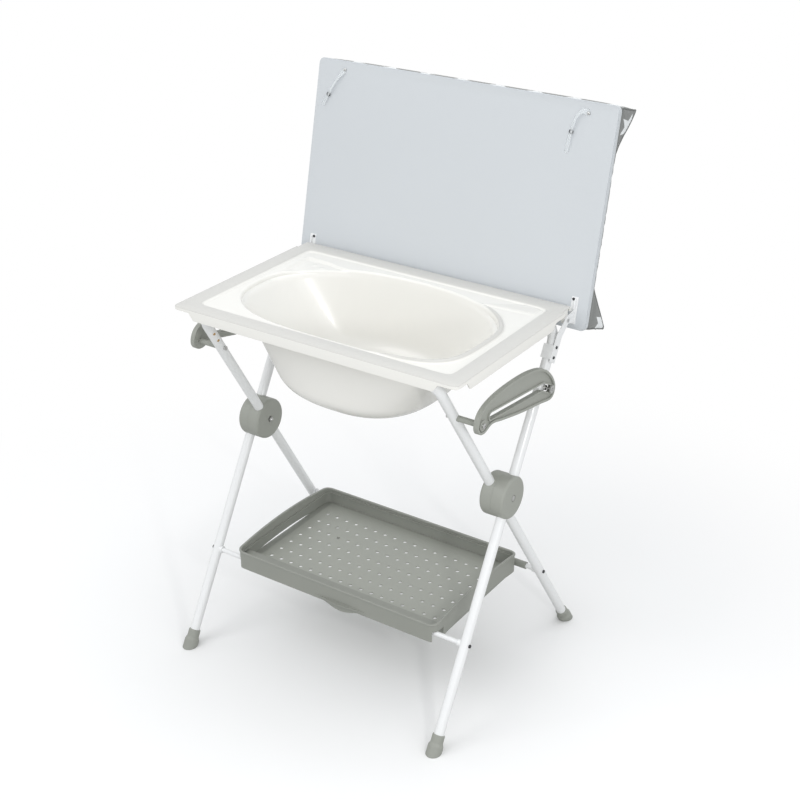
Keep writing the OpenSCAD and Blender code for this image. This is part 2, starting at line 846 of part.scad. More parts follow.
// x along the hinge line, y out from it, z up the board
module on_board() {
    translate([0, hinge_y, hinge_z]) rotate([-board_tilt, 0, 0]) children();
}

board_corner = 14;
board_edge = 2;

module rounded_panel(l, w, r) {
    square([l - 2 * r, w], center = true);
    square([l, w - 2 * r], center = true);
    for (x = [-1, 1], y = [-1, 1]) translate([x * (l / 2 - r), y * (w / 2 - r)]) circle(r = r);
}

module board_panel() {
    mid = board_low + board_width / 2;
    color("lightcyan") stand() difference() {
        on_board() translate([0, board_lift + board_thick, mid]) rotate([90, 0, 0]) {
            linear_extrude(height = board_thick - board_edge)
                rounded_panel(board_length, board_width, board_corner);
            linear_extrude(height = board_thick)
                rounded_panel(board_length - 2 * board_edge, board_width - 2 * board_edge,
                              board_corner - board_edge);
        }
        both() for (z = leaf_screws_z)
            on_board() translate([leaf_screw_x, board_lift - 1, z]) rotate([-90, 0, 0])
                cylinder(h = 10.5, d = 4);
        for (p = [left_screw, right_screw])
            on_underside(p) translate([0, 0, -9.5]) cylinder(h = 10, d = 4);
    }
}

// corners of the mat's section, from the low edge round to the high edge
mat_corners = [[mat_low, mat_face], low_tip, [80, mat_face + mat_thin], [238, mat_face + mat_thin],
               [397, mat_face + mat_thin], high_tip, [mat_high, mat_face]];
mat_swell = [2.5, 8, mat_crown, mat_crown, 8, 2.5];

function mat_point(k, t, e) =
    let (a = mat_corners[k], b = mat_corners[k + 1], d = b - a, nrm = [-d[1], d[0]] / norm(d),
         // the middle rises as one crown over its two spans
         h = k == 2 ? sin(90 * t) : k == 3 ? cos(90 * t) : sin(180 * t))
    a + d * t + nrm * h * mat_swell[k] * e;
function mat_section(e) = concat(
    [for (k = [0 : 5]) for (j = [0 : mat_splits - 1]) mat_point(k, j / mat_splits, e)], [mat_corners[6]]);
// the flat face on the board, split at matching places
mat_base = [mat_low, mat_low + 6, 80, 238, 397, mat_high - 6, mat_high];
mat_flat = [for (k = [0 : 5]) for (j = [0 : mat_splits - 1])
            [mix(mat_base[k], mat_base[k + 1], j / mat_splits), mat_face]];

// ends are drawn in: the section shrinks a little and loses its crown
function mat_loop(u) =
    let (e = max(0, cos(90 * pow(abs(u), 3))), pull = 1 - 0.05 * pow(abs(u), 8),
         upper = mat_section(e), m = len(mat_flat))
    concat([for (p = upper) [mat_half * u, mat_face + (p[1] - mat_face) * pull, p[0]]],
           [for (i = [m - 1 : -1 : 1]) [mat_half * u, mat_face, mat_flat[i][0]]]);
// strips that close one end, a and b being matching points above and below
function mat_cap(n, m) = concat([[0, 1, n - 1]],
    [for (i = [1 : m - 2]) for (f = [[i, i + 1, n - i], [i + 1, n - i - 1, n - i]]) f],
    [[m - 1, m, m + 1]]);

module mattress() {
    us = [for (i = [0 : mat_stations - 1]) let (q = 2 * i / (mat_stations - 1) - 1) sin(90 * q)];
    loops = [for (u = us) mat_loop(u)];
    n = len(loops[0]);
    last = (mat_stations - 1) * n;
    points = [for (l = loops) for (p = l) p];
    cap = mat_cap(n, len(mat_flat));
    sides = [for (j = [0 : mat_stations - 2]) for (i = [0 : n - 1])
             let (a = j * n + i, b = j * n + (i + 1) % n)
             for (f = [[a, b + n, b], [a, a + n, b + n]]) f];
    color("gray") stand() on_board() polyhedron(points = points, convexity = 6,
        faces = concat(sides, cap, [for (f = cap) [last + f[2], last + f[1], last + f[0]]]));
}

// hinge leaf: an ear round the pin and a flange under the board with two screws
leaf_thick = 1.6;
leaf_len = 66;
leaf_flange_in = leaf_x - 10.4;
leaf_flange_out = leaf_x + 7.6;
leaf_screw_x = leaf_x - 4.9;
leaf_screws_z = [4, 46];
leaf_low = -14;
leaf_ear_r = 10;
leaf_gusset = 7;

module hinge_leaf() {
    difference() {
        on_board() {
            translate([leaf_flange_in, board_lift - leaf_thick, leaf_low])
                cube([leaf_flange_out - leaf_flange_in, leaf_thick, leaf_len]);
            translate([leaf_x, 0, -leaf_ear_r]) cube([leaf_end - leaf_x, board_lift, 2 * leaf_ear_r]);
            translate([leaf_x, 0, 0]) rotate([90, 0, 90]) linear_extrude(height = leaf_end - leaf_x)
                polygon([[board_lift, -leaf_ear_r], [board_lift, leaf_len + leaf_low],
                         [board_lift - leaf_gusset, leaf_len + leaf_low - 8],
                         [board_lift - leaf_gusset, leaf_ear_r + 8], [0, leaf_ear_r], [0, -leaf_ear_r]]);
            across(leaf_x, leaf_end, 2 * leaf_ear_r);
        }
        on_board() across(leaf_x - 1, leaf_end + 1, hinge_pin_d + 2 * slide);
        for (z = leaf_screws_z)
            on_board() translate([leaf_screw_x, board_lift - 5, z]) rotate([-90, 0, 0]) cylinder(h = 8, d = 4);
    }
}

module hinge_leaf_left() {
    color("white") stand() side(-1) hinge_leaf();
}

module hinge_leaf_right() {
    color("white") stand() side(1) hinge_leaf();
}

module leaf_screws() {
    color("dimgray") stand() both() for (z = leaf_screws_z)
        on_board() translate([leaf_screw_x, board_lift - leaf_thick - 1.2, z]) rotate([-90, 0, 0]) {
            cylinder(h = 1.2, d = 7);
            cylinder(h = 11, d = 4);
        }
}

// closing straps: a clear band from a screw down to a snap stud
strap_w = 15;
strap_thick = 1.2;

function band_normal(pts, i) =
    let (d = pts[min(i + 1, len(pts) - 1)] - pts[max(i - 1, 0)]) [-d[1], d[0]] / norm(d);
function arc_band(pts, w) = let (n = len(pts), nrm = [for (i = [0 : n - 1]) band_normal(pts, i)])
    concat([for (i = [0 : n - 1]) pts[i] + nrm[i] * w / 2],
           [for (i = [n - 1 : -1 : 0]) pts[i] - nrm[i] * w / 2]);
function bend_path(a, b, c, n) =
    [for (i = [0 : n]) let (t = i / n) a * (1 - t) * (1 - t) + 2 * b * t * (1 - t) + c * t * t];

left_path = bend_path([-346, 487], [-372, 455], [-405, 388], 12);
right_path = bend_path([353, 482], [318, 505], [310, 381], 12);
left_screw = left_path[0];
left_snap = left_path[9];
right_screw = right_path[0];
right_snap = right_path[9];

module on_underside(p) {
    on_board() translate([p[0], board_lift, p[1]]) rotate([90, 0, 0]) children();
}

module strap(path, screw, snap) {
    difference() {
        union() {
            on_underside([0, 0]) linear_extrude(height = strap_thick) polygon(arc_band(path, strap_w));
            for (p = [path[0], path[12]]) on_underside(p) cylinder(h = strap_thick, d = strap_w);
        }
        for (p = [screw, snap]) on_underside(p) translate([0, 0, -1]) cylinder(h = 5, d = 4);
    }
}

module strap_left() {
    color("white") stand() strap(left_path, left_screw, left_snap);
}

module strap_right() {
    color("white") stand() strap(right_path, right_screw, right_snap);
}

module strap_screws() {
    color("silver") stand() for (p = [left_screw, right_screw]) on_underside(p) {
        translate([0, 0, strap_thick]) cylinder(h = 1.4, d = 8);
        translate([0, 0, -9]) cylinder(h = 10.5, d = 4);
    }
}

module strap_snaps() {
    color("silver") stand() for (p = [left_snap, right_snap]) on_underside(p) {
        translate([0, 0, strap_thick]) cylinder(h = 1.2, d = 11);
        cylinder(h = strap_thick + 0.5, d = 4);
    }
}

/* ---------- tray ---------- */

tray_front = -195;
tray_back = 203;
tray_top = 262;
tray_base = 213;
tray_wall = 3;
tray_corner = 20;
tray_floor = 219;             // top of the tray's floor
tray_arch = 16;               // how far the end walls rise in their middle
rim_lip = 5;
channel_front = -192;
channel_back = -155;
channel_roof = front_cross[1] + cross_d / 2 + seat;
sleeve_d = 19;
sleeve_in = tray_half - 15;
sleeve_out = tray_half + 24;
grip_x = 25;
grip_half = 88;
grip_drop = 13;
grip_out = 10;
hole_pitch = 32.1;
hole_row = 41.7;
hole_edge = 62;               // from the tray's back to its first row of holes
hole_shift = -4;

tray_mid = (tray_front + tray_back) / 2;
tray_deep = tray_back - tray_front;

module tray_outline(inset) {
    rounded_panel(2 * tray_half - 2 * inset, tray_deep - 2 * inset, tray_corner - inset);
}

// end walls seen from the side: both edges bow upward
arch_n = 16;
arch_upper = [for (i = [0 : arch_n]) let (t = 2 * i / arch_n - 1)
              [t * tray_deep / 2, tray_top + tray_arch * (1 - t * t)]];
arch_lower = [for (i = [arch_n : -1 : 0]) let (t = 2 * i / arch_n - 1)
              [t * tray_deep / 2, tray_base + 0.8 * tray_arch * max(0, 1 - t * t * 1.4)]];

module tray_side_view() {
    polygon(concat(arch_upper, arch_lower));
}

// the front and back walls are level, the ends follow the arch
module tray_envelope(inset) {
    intersection() {
        translate([0, tray_mid, tray_base - 5]) linear_extrude(height = 80) tray_outline(inset);
        translate([-tray_half - 1, tray_mid, 0]) rotate([90, 0, 90])
            linear_extrude(height = 2 * tray_half + 2) tray_side_view();
    }
}

module tray_shell() {
    difference() {
        tray_envelope(0);
        // open top above the floor
        translate([0, tray_mid, tray_floor]) linear_extrude(height = 90) tray_outline(tray_wall);
        // level between the end walls
        translate([-tray_half + 14, tray_front - 1, tray_top]) cube([2 * tray_half - 28, tray_deep + 2, 60]);
    }
    // floor, level underneath
    translate([0, tray_mid, tray_floor - tray_wall]) linear_extrude(height = tray_wall) tray_outline(1);
    // inner step of the rim
    translate([0, tray_mid, tray_top - 12]) linear_extrude(height = 3) difference() {
        tray_outline(1);
        tray_outline(tray_wall + rim_lip);
    }
}

module channel(x_half, y0, y1, z0, z1) {
    translate([-x_half, y0, z0]) cube([2 * x_half, y1 - y0, z1 - z0]);
}

grip_line = [for (i = [0 : 24]) let (t = i / 12 - 1)
             [grip_x + grip_half * t, -0.5 * (1 + cos(180 * t))]];

module grip() {
    // a bowed lip under the front wall, deepest in the middle
    translate([0, tray_front + tray_wall, 0]) rotate([90, 0, 0]) linear_extrude(height = tray_wall)
        polygon(concat([for (p = grip_line) [p[0], tray_base + 8 + p[1] * (grip_drop + 8)]],
                       [[grip_x + grip_half, tray_base + 12], [grip_x - grip_half, tray_base + 12]]));
    // and bowed forward
    translate([0, tray_front, tray_base + 8]) linear_extrude(height = 3)
        polygon(concat([for (p = grip_line) [p[0], p[1] * grip_out]],
                       [[grip_x + grip_half, 2], [grip_x - grip_half, 2]]));
}

module tray() {
    color("gray") stand() difference() {
        union() {
            tray_shell();
            intersection() {
                tray_envelope(0.5);
                channel(tray_half, tray_front, channel_back + tray_wall,
                        tray_floor - tray_wall, channel_roof + tray_wall);
            }
            grip();
            both() translate([0, rear_cross[0], rear_cross[1]]) across(sleeve_in, sleeve_out, sleeve_d);
        }
        // channel that drops over the front cross tube
        channel(tray_half + 5, channel_front, channel_back, tray_base - 20, channel_roof);
        // rear cross tube runs through the sleeves
        translate([0, rear_cross[0], rear_cross[1]]) across(-outer_x, outer_x, cross_d + 2 * slide);
        for (r = [0 : 6]) for (c = [-8 : 8])
            translate([hole_shift + c * hole_pitch, tray_back - hole_edge - r * hole_row, tray_floor - 10])
                cylinder(h = 20, d = tray_hole_d);
    }
}

/* ---------- list ---------- */

outer_frame_tube();
inner_leg_left();
inner_leg_right();
tube_plug_left();
tube_plug_right();
leg_rivets();
front_cross_tube();
rear_cross_tube();
front_cross_screws();
rear_cross_screws();
foot_front_left();
foot_front_right();
foot_rear_left();
foot_rear_right();
hub_outer_left();
hub_outer_right();
hub_inner_left();
hub_inner_right();
hub_bolt_left();
hub_bolt_right();
stay_link_left();
stay_link_right();
link_bush_left();
link_bush_right();
link_bolt_left();
link_bolt_right();
slot_pin_left();
slot_pin_right();
hinge_bracket_left();
hinge_bracket_right();
bracket_screws();
hinge_pin_left();
hinge_pin_right();
tub();
drain_outlet();
drain_plug();
board_panel();
mattress();
hinge_leaf_left();
hinge_leaf_right();
leaf_screws();
strap_left();
strap_right();
strap_screws();
strap_snaps();
tray();
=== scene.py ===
# %% [markdown]
# # A baby bath stand, dressed for one photo
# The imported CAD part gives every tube, hinge and moulding its true place. This script loads it as a
# fixed frame and gives it surfaces: gloss moulding, powder coat, grained grey plastic, star-printed
# cloth, clear straps. The tub, the mat and the straps are built again here, finer than the CAD has them,
# and stand for their CAD nodes.

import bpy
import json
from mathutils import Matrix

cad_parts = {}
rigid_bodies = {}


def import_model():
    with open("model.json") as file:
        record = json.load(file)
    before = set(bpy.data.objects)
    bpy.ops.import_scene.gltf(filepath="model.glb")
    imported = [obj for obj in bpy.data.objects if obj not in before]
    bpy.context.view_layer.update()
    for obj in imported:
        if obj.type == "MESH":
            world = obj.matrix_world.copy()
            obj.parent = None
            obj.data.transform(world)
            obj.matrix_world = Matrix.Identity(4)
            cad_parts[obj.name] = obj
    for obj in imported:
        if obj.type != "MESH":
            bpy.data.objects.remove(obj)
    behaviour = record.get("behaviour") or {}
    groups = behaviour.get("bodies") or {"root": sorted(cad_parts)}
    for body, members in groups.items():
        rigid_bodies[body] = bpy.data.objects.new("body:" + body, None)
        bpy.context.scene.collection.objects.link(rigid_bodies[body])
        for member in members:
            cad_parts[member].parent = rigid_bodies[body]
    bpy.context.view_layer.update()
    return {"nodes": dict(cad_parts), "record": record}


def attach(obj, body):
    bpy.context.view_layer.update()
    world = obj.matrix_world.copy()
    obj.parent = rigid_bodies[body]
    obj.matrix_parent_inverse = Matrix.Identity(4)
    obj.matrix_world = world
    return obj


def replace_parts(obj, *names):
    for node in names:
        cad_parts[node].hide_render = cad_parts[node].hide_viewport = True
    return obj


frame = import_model()

import json
import math
import time

import bmesh
import bpy
import numpy as np
from mathutils import Matrix, Vector

# %% [markdown]
# ## Small tools
# Shader sockets are wrapped so that a formula reads like arithmetic: `(a - b).abs() < c`.
# Each operator adds one Math node and wraps its output.

# %%
class Sig:
    """A socket that does arithmetic."""

    def __init__(self, tree, socket):
        self.t = tree
        self.s = socket

    def op(self, name, *others):
        n = self.t.nodes.new("ShaderNodeMath")
        n.operation = name
        for k, v in enumerate((self,) + others):
            if isinstance(v, Sig):
                self.t.links.new(v.s, n.inputs[k])
            else:
                n.inputs[k].default_value = v
        return Sig(self.t, n.outputs[0])

    def __add__(self, o): return self.op("ADD", o)
    def __radd__(self, o): return self.op("ADD", o)
    def __sub__(self, o): return self.op("SUBTRACT", o)
    def __rsub__(self, o): return (self * -1.0) + o
    def __mul__(self, o): return self.op("MULTIPLY", o)
    def __rmul__(self, o): return self.op("MULTIPLY", o)
    def __truediv__(self, o): return self.op("DIVIDE", o)
    def __gt__(self, o): return self.op("GREATER_THAN", o)
    def __lt__(self, o): return self.op("LESS_THAN", o)
    def __neg__(self): return self * -1.0
    def abs(self): return self.op("ABSOLUTE")
    def sin(self): return self.op("SINE")
    def cos(self): return self.op("COSINE")
    def floor(self): return self.op("FLOOR")
    def sqrt(self): return self.op("SQRT")
    def min(self, o): return self.op("MINIMUM", o)
    def max(self, o): return self.op("MAXIMUM", o)
    def fmod(self, o): return self.op("FLOORED_MODULO", o)
    def atan2(self, o): return self.op("ARCTAN2", o)
    def clip(self): return self.max(0.0).min(1.0)

    def ramp(self, lo, hi):
        """0 below lo, 1 above hi, smooth between."""
        t = ((self - lo) / (hi - lo)).clip()
        return t * t * (3.0 - 2.0 * t)


class Paint:
    """A material built in code: a Principled shader and helpers that make its varying signals."""

    def __init__(self, name, color, rough=0.4, metal=0.0, **fixed):
        self.m = bpy.data.materials.new(name)
        self.m.use_nodes = True
        self.t = self.m.node_tree
        self.b = self.t.nodes["Principled BSDF"]
        self.b.inputs["Base Color"].default_value = (*color, 1)
        self.b.inputs["Roughness"].default_value = rough
        self.b.inputs["Metallic"].default_value = metal
        for k, v in fixed.items():
            self.b.inputs[k.replace("_", " ")].default_value = v
        self.c = self.t.nodes.new("ShaderNodeTexCoord")

    def node(self, kind, out=0, ins=(), **props):
        """Any other node: its inputs by name, its settings by keyword, one output as a Sig."""
        n = self.t.nodes.new(kind)
        for k, v in props.items():
            setattr(n, k, v)
        for k, v in dict(ins).items():
            if isinstance(v, Sig):
                self.t.links.new(v.s, n.inputs[k])
            elif hasattr(v, "is_output"):
                self.t.links.new(v, n.inputs[k])
            else:
                n.inputs[k].default_value = v
        return Sig(self.t, n.outputs[out])

    def xyz(self, source="Object"):
        n = self.t.nodes.new("ShaderNodeSeparateXYZ")
        self.t.links.new(self.c.outputs[source], n.inputs[0])
        return [Sig(self.t, n.outputs[k]) for k in range(3)]

    def point(self, x, y, z=0.0):
        n = self.t.nodes.new("ShaderNodeCombineXYZ")
        for k, v in enumerate((x, y, z)):
            if isinstance(v, Sig):
                self.t.links.new(v.s, n.inputs[k])
            else:
                n.inputs[k].default_value = v
        return Sig(self.t, n.outputs[0])

    def noise(self, scale, detail=3.0, rough=0.5, at=None):
        return self.node("ShaderNodeTexNoise", 0, {"Vector": at or self.c.outputs["Object"],
                         "Scale": scale, "Detail": detail, "Roughness": rough})

    def mix(self, fac, a, b):
        """Colours a to b by fac; each is a colour or a Sig."""
        n = self.t.nodes.new("ShaderNodeMix")
        n.data_type = "RGBA"
        for k, v in ((0, fac), (6, a), (7, b)):
            if isinstance(v, Sig):
                self.t.links.new(v.s, n.inputs[k])
            else:
                n.inputs[k].default_value = v if k == 0 else (*v, 1)
        return Sig(self.t, n.outputs[2])

    def set(self, **signals):
        for k, v in signals.items():
            self.t.links.new(v.s, self.b.inputs[k.replace("_", " ")])
        return self

    def bump(self, height, distance, strength=1.0):
        n = self.t.nodes.new("ShaderNodeBump")
        n.inputs["Distance"].default_value = distance
        n.inputs["Strength"].default_value = strength
        self.t.links.new(height.s, n.inputs["Height"])
        self.t.links.new(n.outputs[0], self.b.inputs["Normal"])
        return self


def shade(color, k):
    return tuple(c * k for c in color)

# %% [markdown]
# ## Finishes
# One material per slot of the record. Each has the detail its surface has in life: the moulded tub a
# faint haze, the powder coat an orange-peel ripple, the grey mouldings a spark-eroded grain.

# %%
TUB = (0.835, 0.825, 0.788)
WHITE = (0.85, 0.858, 0.862)
BOARD = (0.594, 0.621, 0.645)
GREY = (0.335, 0.345, 0.311)
CLOTH = (0.212, 0.218, 0.212)

tub_mat = Paint("tub moulding", TUB, 0.22, IOR=1.5, Coat_Weight=0.3, Coat_Roughness=0.08)
haze = tub_mat.noise(5.0, 2.0)
# the raised rim is etched a little darker and duller than the bowl and its land
rim_band = tub_mat.xyz()[2].ramp(0.9545, 0.9575)
tone = tub_mat.mix(haze, shade(TUB, 0.985), TUB)
tub_mat.set(Base_Color=tub_mat.mix(rim_band, tone, shade(TUB, 0.73)), Roughness=haze * 0.08 + rim_band * 0.22 + 0.19)
tub_mat.bump(tub_mat.noise(38.0, 1.0), 0.0002, 0.35)

paint = Paint("white powder coat", WHITE, 0.3, IOR=1.5, Coat_Weight=0.4, Coat_Roughness=0.12)
peel = paint.noise(420.0, 2.0)
paint.set(Base_Color=paint.mix(paint.noise(12.0), shade(WHITE, 0.97), WHITE), Roughness=peel * 0.1 + 0.24)
paint.bump(peel, 0.0002, 0.5)

sheet_paint = Paint("painted sheet", shade(WHITE, 0.98), 0.32, IOR=1.5, Coat_Weight=0.3)
wave = sheet_paint.noise(220.0, 2.0)
sheet_paint.set(Roughness=wave * 0.12 + 0.25).bump(wave, 0.0002, 0.5)


def moulded(name, color, rough, grain=900.0, depth=0.00025):
    p = Paint(name, color, rough, IOR=1.46)
    g = p.noise(grain, 3.0, 0.6)
    worn = p.noise(9.0, 3.0)
    p.set(Base_Color=p.mix(worn, shade(color, 0.95), shade(color, 1.04)), Roughness=g * 0.14 + (rough - 0.07))
    return p.bump(g, depth, 0.6)


grey = moulded("grey moulding", GREY, 0.42)
tray_grey = moulded("tray moulding", shade(GREY, 0.88), 0.38, 700.0)
# painted light: the tray's bed is painted lighter than its walls, as if its up-facing floor took more light
x, y, z = tray_grey.xyz()
y = y + 0.0648
walls = tray_grey.mix(tray_grey.noise(9.0, 3.0), shade(GREY, 0.84), shade(GREY, 0.915))
painted_lit_bed = tray_grey.mix((x * x).ramp(0.080, 0.084), shade(GREY, 1.12), walls)
painted_lit_bed = tray_grey.mix((y * y).ramp(0.0350, 0.0372), painted_lit_bed, walls)
tray_grey.set(Base_Color=tray_grey.mix(z.ramp(0.2198, 0.2215), painted_lit_bed, walls))
foot = moulded("soft grey plastic", shade(GREY, 0.95), 0.55, 1100.0)
white_plastic = moulded("white fitting", (0.78, 0.78, 0.75), 0.4, 600.0)

board_mat = Paint("board laminate", BOARD, 0.3, IOR=1.5, Coat_Weight=0.15)
cloud = board_mat.noise(3.0, 2.0)
board_mat.set(Base_Color=board_mat.mix(cloud, shade(BOARD, 0.985), shade(BOARD, 1.015)),
              Roughness=board_mat.noise(160.0, 2.0) * 0.1 + 0.27)
board_mat.bump(board_mat.noise(500.0, 2.0), 0.0001, 0.4)


def steel(name, color, rough):
    p = Paint(name, color, rough, 1.0)
    g = p.noise(1500.0, 2.0)
    return p.set(Roughness=g * 0.15 + (rough - 0.08)).bump(g, 0.0001, 0.4)


dark = steel("blackened steel", (0.075, 0.075, 0.08), 0.42)
bright = steel("zinc plate", (0.62, 0.62, 0.61), 0.34)
brass = steel("brass rivet", (0.62, 0.40, 0.20), 0.4)

clear = Paint("clear band", (0.90, 0.93, 0.95), 0.12, IOR=1.45, Alpha=0.3)
film = clear.noise(60.0, 2.0)
clear.set(Roughness=film * 0.12 + 0.08).bump(film, 0.0003, 0.5)

SLOT_MAT = {"frame_paint": paint, "bracket_paint": sheet_paint, "grey_plastic": grey, "foot_plastic": foot,
            "tray_plastic": tray_grey, "tub_plastic": tub_mat, "white_plastic": white_plastic,
            "board_laminate": board_mat, "clear_strap": clear, "brass": brass, "dark_screws": dark,
            "bright_steel": bright}

for part in frame["record"]["subparts"]:
    ob = frame["nodes"][part["node"]]
    ob.data.materials.clear()
    mat = SLOT_MAT.get(part["material_slot"])
    if mat:
        ob.data.materials.append(mat.m)
print("finishes:", len(SLOT_MAT), "on", len(frame["nodes"]), "CAD nodes")

# %% [markdown]
# ## Places in the frame
# The hinge line, the board's slope and the hub's place are the CAD's own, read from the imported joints.

# %%
joints = {j["name"]: j for j in frame["record"]["behaviour"]["joints"]}
hinge = Vector(joints["tub_tilt"]["pos_m"])
hub_y = joints["fold"]["pos_m"][1]
tilt = math.radians(joints["board_close"]["range_deg"][1] - 90.0)
along = Vector((0, math.sin(tilt), math.cos(tilt)))
outward = Vector((0, math.cos(tilt), -math.sin(tilt)))
print("hinge line at", tuple(round(v, 4) for v in hinge), "board tilt", round(math.degrees(tilt), 1), "degrees")


def on_board(x, a, o):
    """x along the hinge, a up the board, o out from the hinge line, all in metres."""
    return Vector((x, 0, 0)) + Vector((0, hinge.y, hinge.z)) + along * a + outward * o


def mesh_object(name, verts, faces, material, smooth=True):
    me = bpy.data.meshes.new(name)
    me.from_pydata([tuple(v) for v in verts], [], [tuple(f) for f in faces])
    me.validate()
    ob = bpy.data.objects.new(name, me)
    bpy.context.scene.collection.objects.link(ob)
    me.materials.append(material.m)
    for p in me.polygons:
        p.use_smooth = smooth
    bm = bmesh.new()
    bm.from_mesh(me)
    bmesh.ops.recalc_face_normals(bm, faces=bm.faces)
    bm.to_mesh(me)
    bm.free()
    return ob


def keep_sharp(ob, degrees=35):
    """Smooth shading that stays sharp where the surface turns by more than this."""
    ob.data.shade_smooth()
    ob.data.set_sharp_from_angle(angle=math.radians(degrees))


for node in frame["nodes"].values():
    keep_sharp(node, 32)


def bake(ob):
    """Turns an object's modifiers into its mesh."""
    deps = bpy.context.evaluated_depsgraph_get()
    me = bpy.data.meshes.new_from_object(ob.evaluated_get(deps))
    ob.modifiers.clear()
    ob.data = me

# %% [markdown]
# ## Trees for what repeats or follows a line
# Screw heads, stitches, piping and the tray's rolled rim each follow a rule, so Geometry Nodes makes them:
# points or edges go in, and one mesh for each body comes out, with its material set at the end.

# %%
class Tree:
    """A Geometry Nodes tree built in code, with named inputs."""

    def __init__(self, name, **inputs):
        self.g = bpy.data.node_groups.new(name, "GeometryNodeTree")
        face = self.g.interface
        face.new_socket("Geometry", in_out="OUTPUT", socket_type="NodeSocketGeometry")
        face.new_socket("Geometry", in_out="INPUT", socket_type="NodeSocketGeometry")
        inputs["Material"] = "Material"
        self.ids = {k: face.new_socket(k, in_out="INPUT", socket_type="NodeSocket" + v).identifier
                    for k, v in inputs.items()}
        self.i = self.g.nodes.new("NodeGroupInput").outputs
        self.o = self.g.nodes.new("NodeGroupOutput").inputs

    def add(self, kind, ins, out=0, **props):
        n = self.g.nodes.new(kind)
        for k, v in props.items():
            setattr(n, k, v)
        for k, v in ins.items():
            for one in v if isinstance(v, list) else [v]:
                if isinstance(one, bpy.types.NodeSocket):
                    self.g.links.new(one, n.inputs[k])
                else:
                    n.inputs[k].default_value = one
        return n.outputs[out]

    def xyz(self, x, y, z):
        return self.add("ShaderNodeCombineXYZ", {0: x, 1: y, 2: z})

    def end(self, geometry):
        solid = self.add("GeometryNodeRealizeInstances", {0: geometry})
        self.g.links.new(self.add("GeometryNodeSetMaterial", {0: solid, "Material": self.i["Material"]}), self.o[0])

    def run(self, name, points, edges=(), fields=None, **values):
        """A mesh of points or edges goes through the tree; fields are its named attributes."""
        me = bpy.data.meshes.new(name)
        me.from_pydata([tuple(v) for v in points], list(edges), [])
        for k, v in (fields or {}).items():
            v = np.array(v, float)
            a = me.attributes.new(k, "FLOAT" if v.ndim == 1 else "FLOAT_VECTOR", "POINT")
            a.data.foreach_set("value" if v.ndim == 1 else "vector", v.ravel())
        ob = bpy.data.objects.new(name, me)
        bpy.context.scene.collection.objects.link(ob)
        m = ob.modifiers.new(name, "NODES")
        m.node_group = self.g
        for k, v in values.items():
            m[self.ids[k]] = v.m if isinstance(v, Paint) else v
        bake(ob)
        keep_sharp(ob, 40)
        return ob


# a domed head with a crossed recess, one at each point
head_tree = Tree("screw heads", Dome="Float", Slot="Float")
ball = head_tree.add("GeometryNodeMeshUVSphere", {"Segments": 28, "Rings": 16, "Radius": 1.0})
dome = head_tree.add("GeometryNodeTransform", {0: ball, "Scale": head_tree.xyz(1.0, 1.0, head_tree.i["Dome"])})
bars = [head_tree.add("GeometryNodeTransform", {
    0: head_tree.add("GeometryNodeMeshCube", {"Size": head_tree.xyz(*size)}),
    "Translation": head_tree.xyz(0.0, 0.0, head_tree.i["Dome"])})
    for size in ((1.15, head_tree.i["Slot"], 0.5), (head_tree.i["Slot"], 1.15, 0.5))]
cut = head_tree.add("GeometryNodeMeshBoolean", {0: dome, 1: bars}, operation="DIFFERENCE")
aim = head_tree.add("FunctionNodeAlignRotationToVector", {"Vector": head_tree.add(
    "GeometryNodeInputNamedAttribute", {"Name": "facing"}, data_type="FLOAT_VECTOR")}, axis="Z")
head_tree.end(head_tree.add("GeometryNodeInstanceOnPoints", {
    "Points": head_tree.i["Geometry"], "Instance": cut, "Rotation": aim,
    "Scale": head_tree.add("GeometryNodeInputNamedAttribute", {"Name": "size"}, data_type="FLOAT")}))

# short threads, one at each step along the edges
stitch_tree = Tree("stitches", Spacing="Float", Length="Float", Thickness="Float")
line = stitch_tree.add("GeometryNodeResampleCurve", {
    0: stitch_tree.add("GeometryNodeMeshToCurve", {0: stitch_tree.i["Geometry"]}),
    "Length": stitch_tree.i["Spacing"]}, mode="LENGTH")
thread = stitch_tree.add("GeometryNodeTransform", {
    0: stitch_tree.add("GeometryNodeMeshUVSphere", {"Segments": 8, "Rings": 6, "Radius": 0.5}),
    "Scale": stitch_tree.xyz(stitch_tree.i["Length"], stitch_tree.i["Thickness"], stitch_tree.i["Thickness"])})
stitch_tree.end(stitch_tree.add("GeometryNodeInstanceOnPoints", {
    "Points": line, "Instance": thread, "Rotation": stitch_tree.add(
        "FunctionNodeAlignRotationToVector", {"Vector": stitch_tree.add("GeometryNodeInputTangent", {})}, axis="X")}))

# a round bead along the edges
bead_tree = Tree("bead", Radius="Float")
bead_tree.end(bead_tree.add("GeometryNodeCurveToMesh", {
    0: bead_tree.add("GeometryNodeMeshToCurve", {0: bead_tree.i["Geometry"]}),
    1: bead_tree.add("GeometryNodeCurvePrimitiveCircle", {"Resolution": 12, "Radius": bead_tree.i["Radius"]}),
    "Fill Caps": True}))
print("trees:", head_tree.g.name, stitch_tree.g.name, bead_tree.g.name)


def chain(count, closed=False):
    return [(k, (k + 1) % count) for k in range(count if closed else count - 1)]

# %% [markdown]
# ## Screw heads
# Each CAD screw already stands in its place. Its outer face is looked up, and a domed head with a
# recess goes on it, so the heads can't miss their screws.

# %%
body_of = {n: b for b, nodes in frame["record"]["behaviour"]["bodies"].items() for n in nodes}


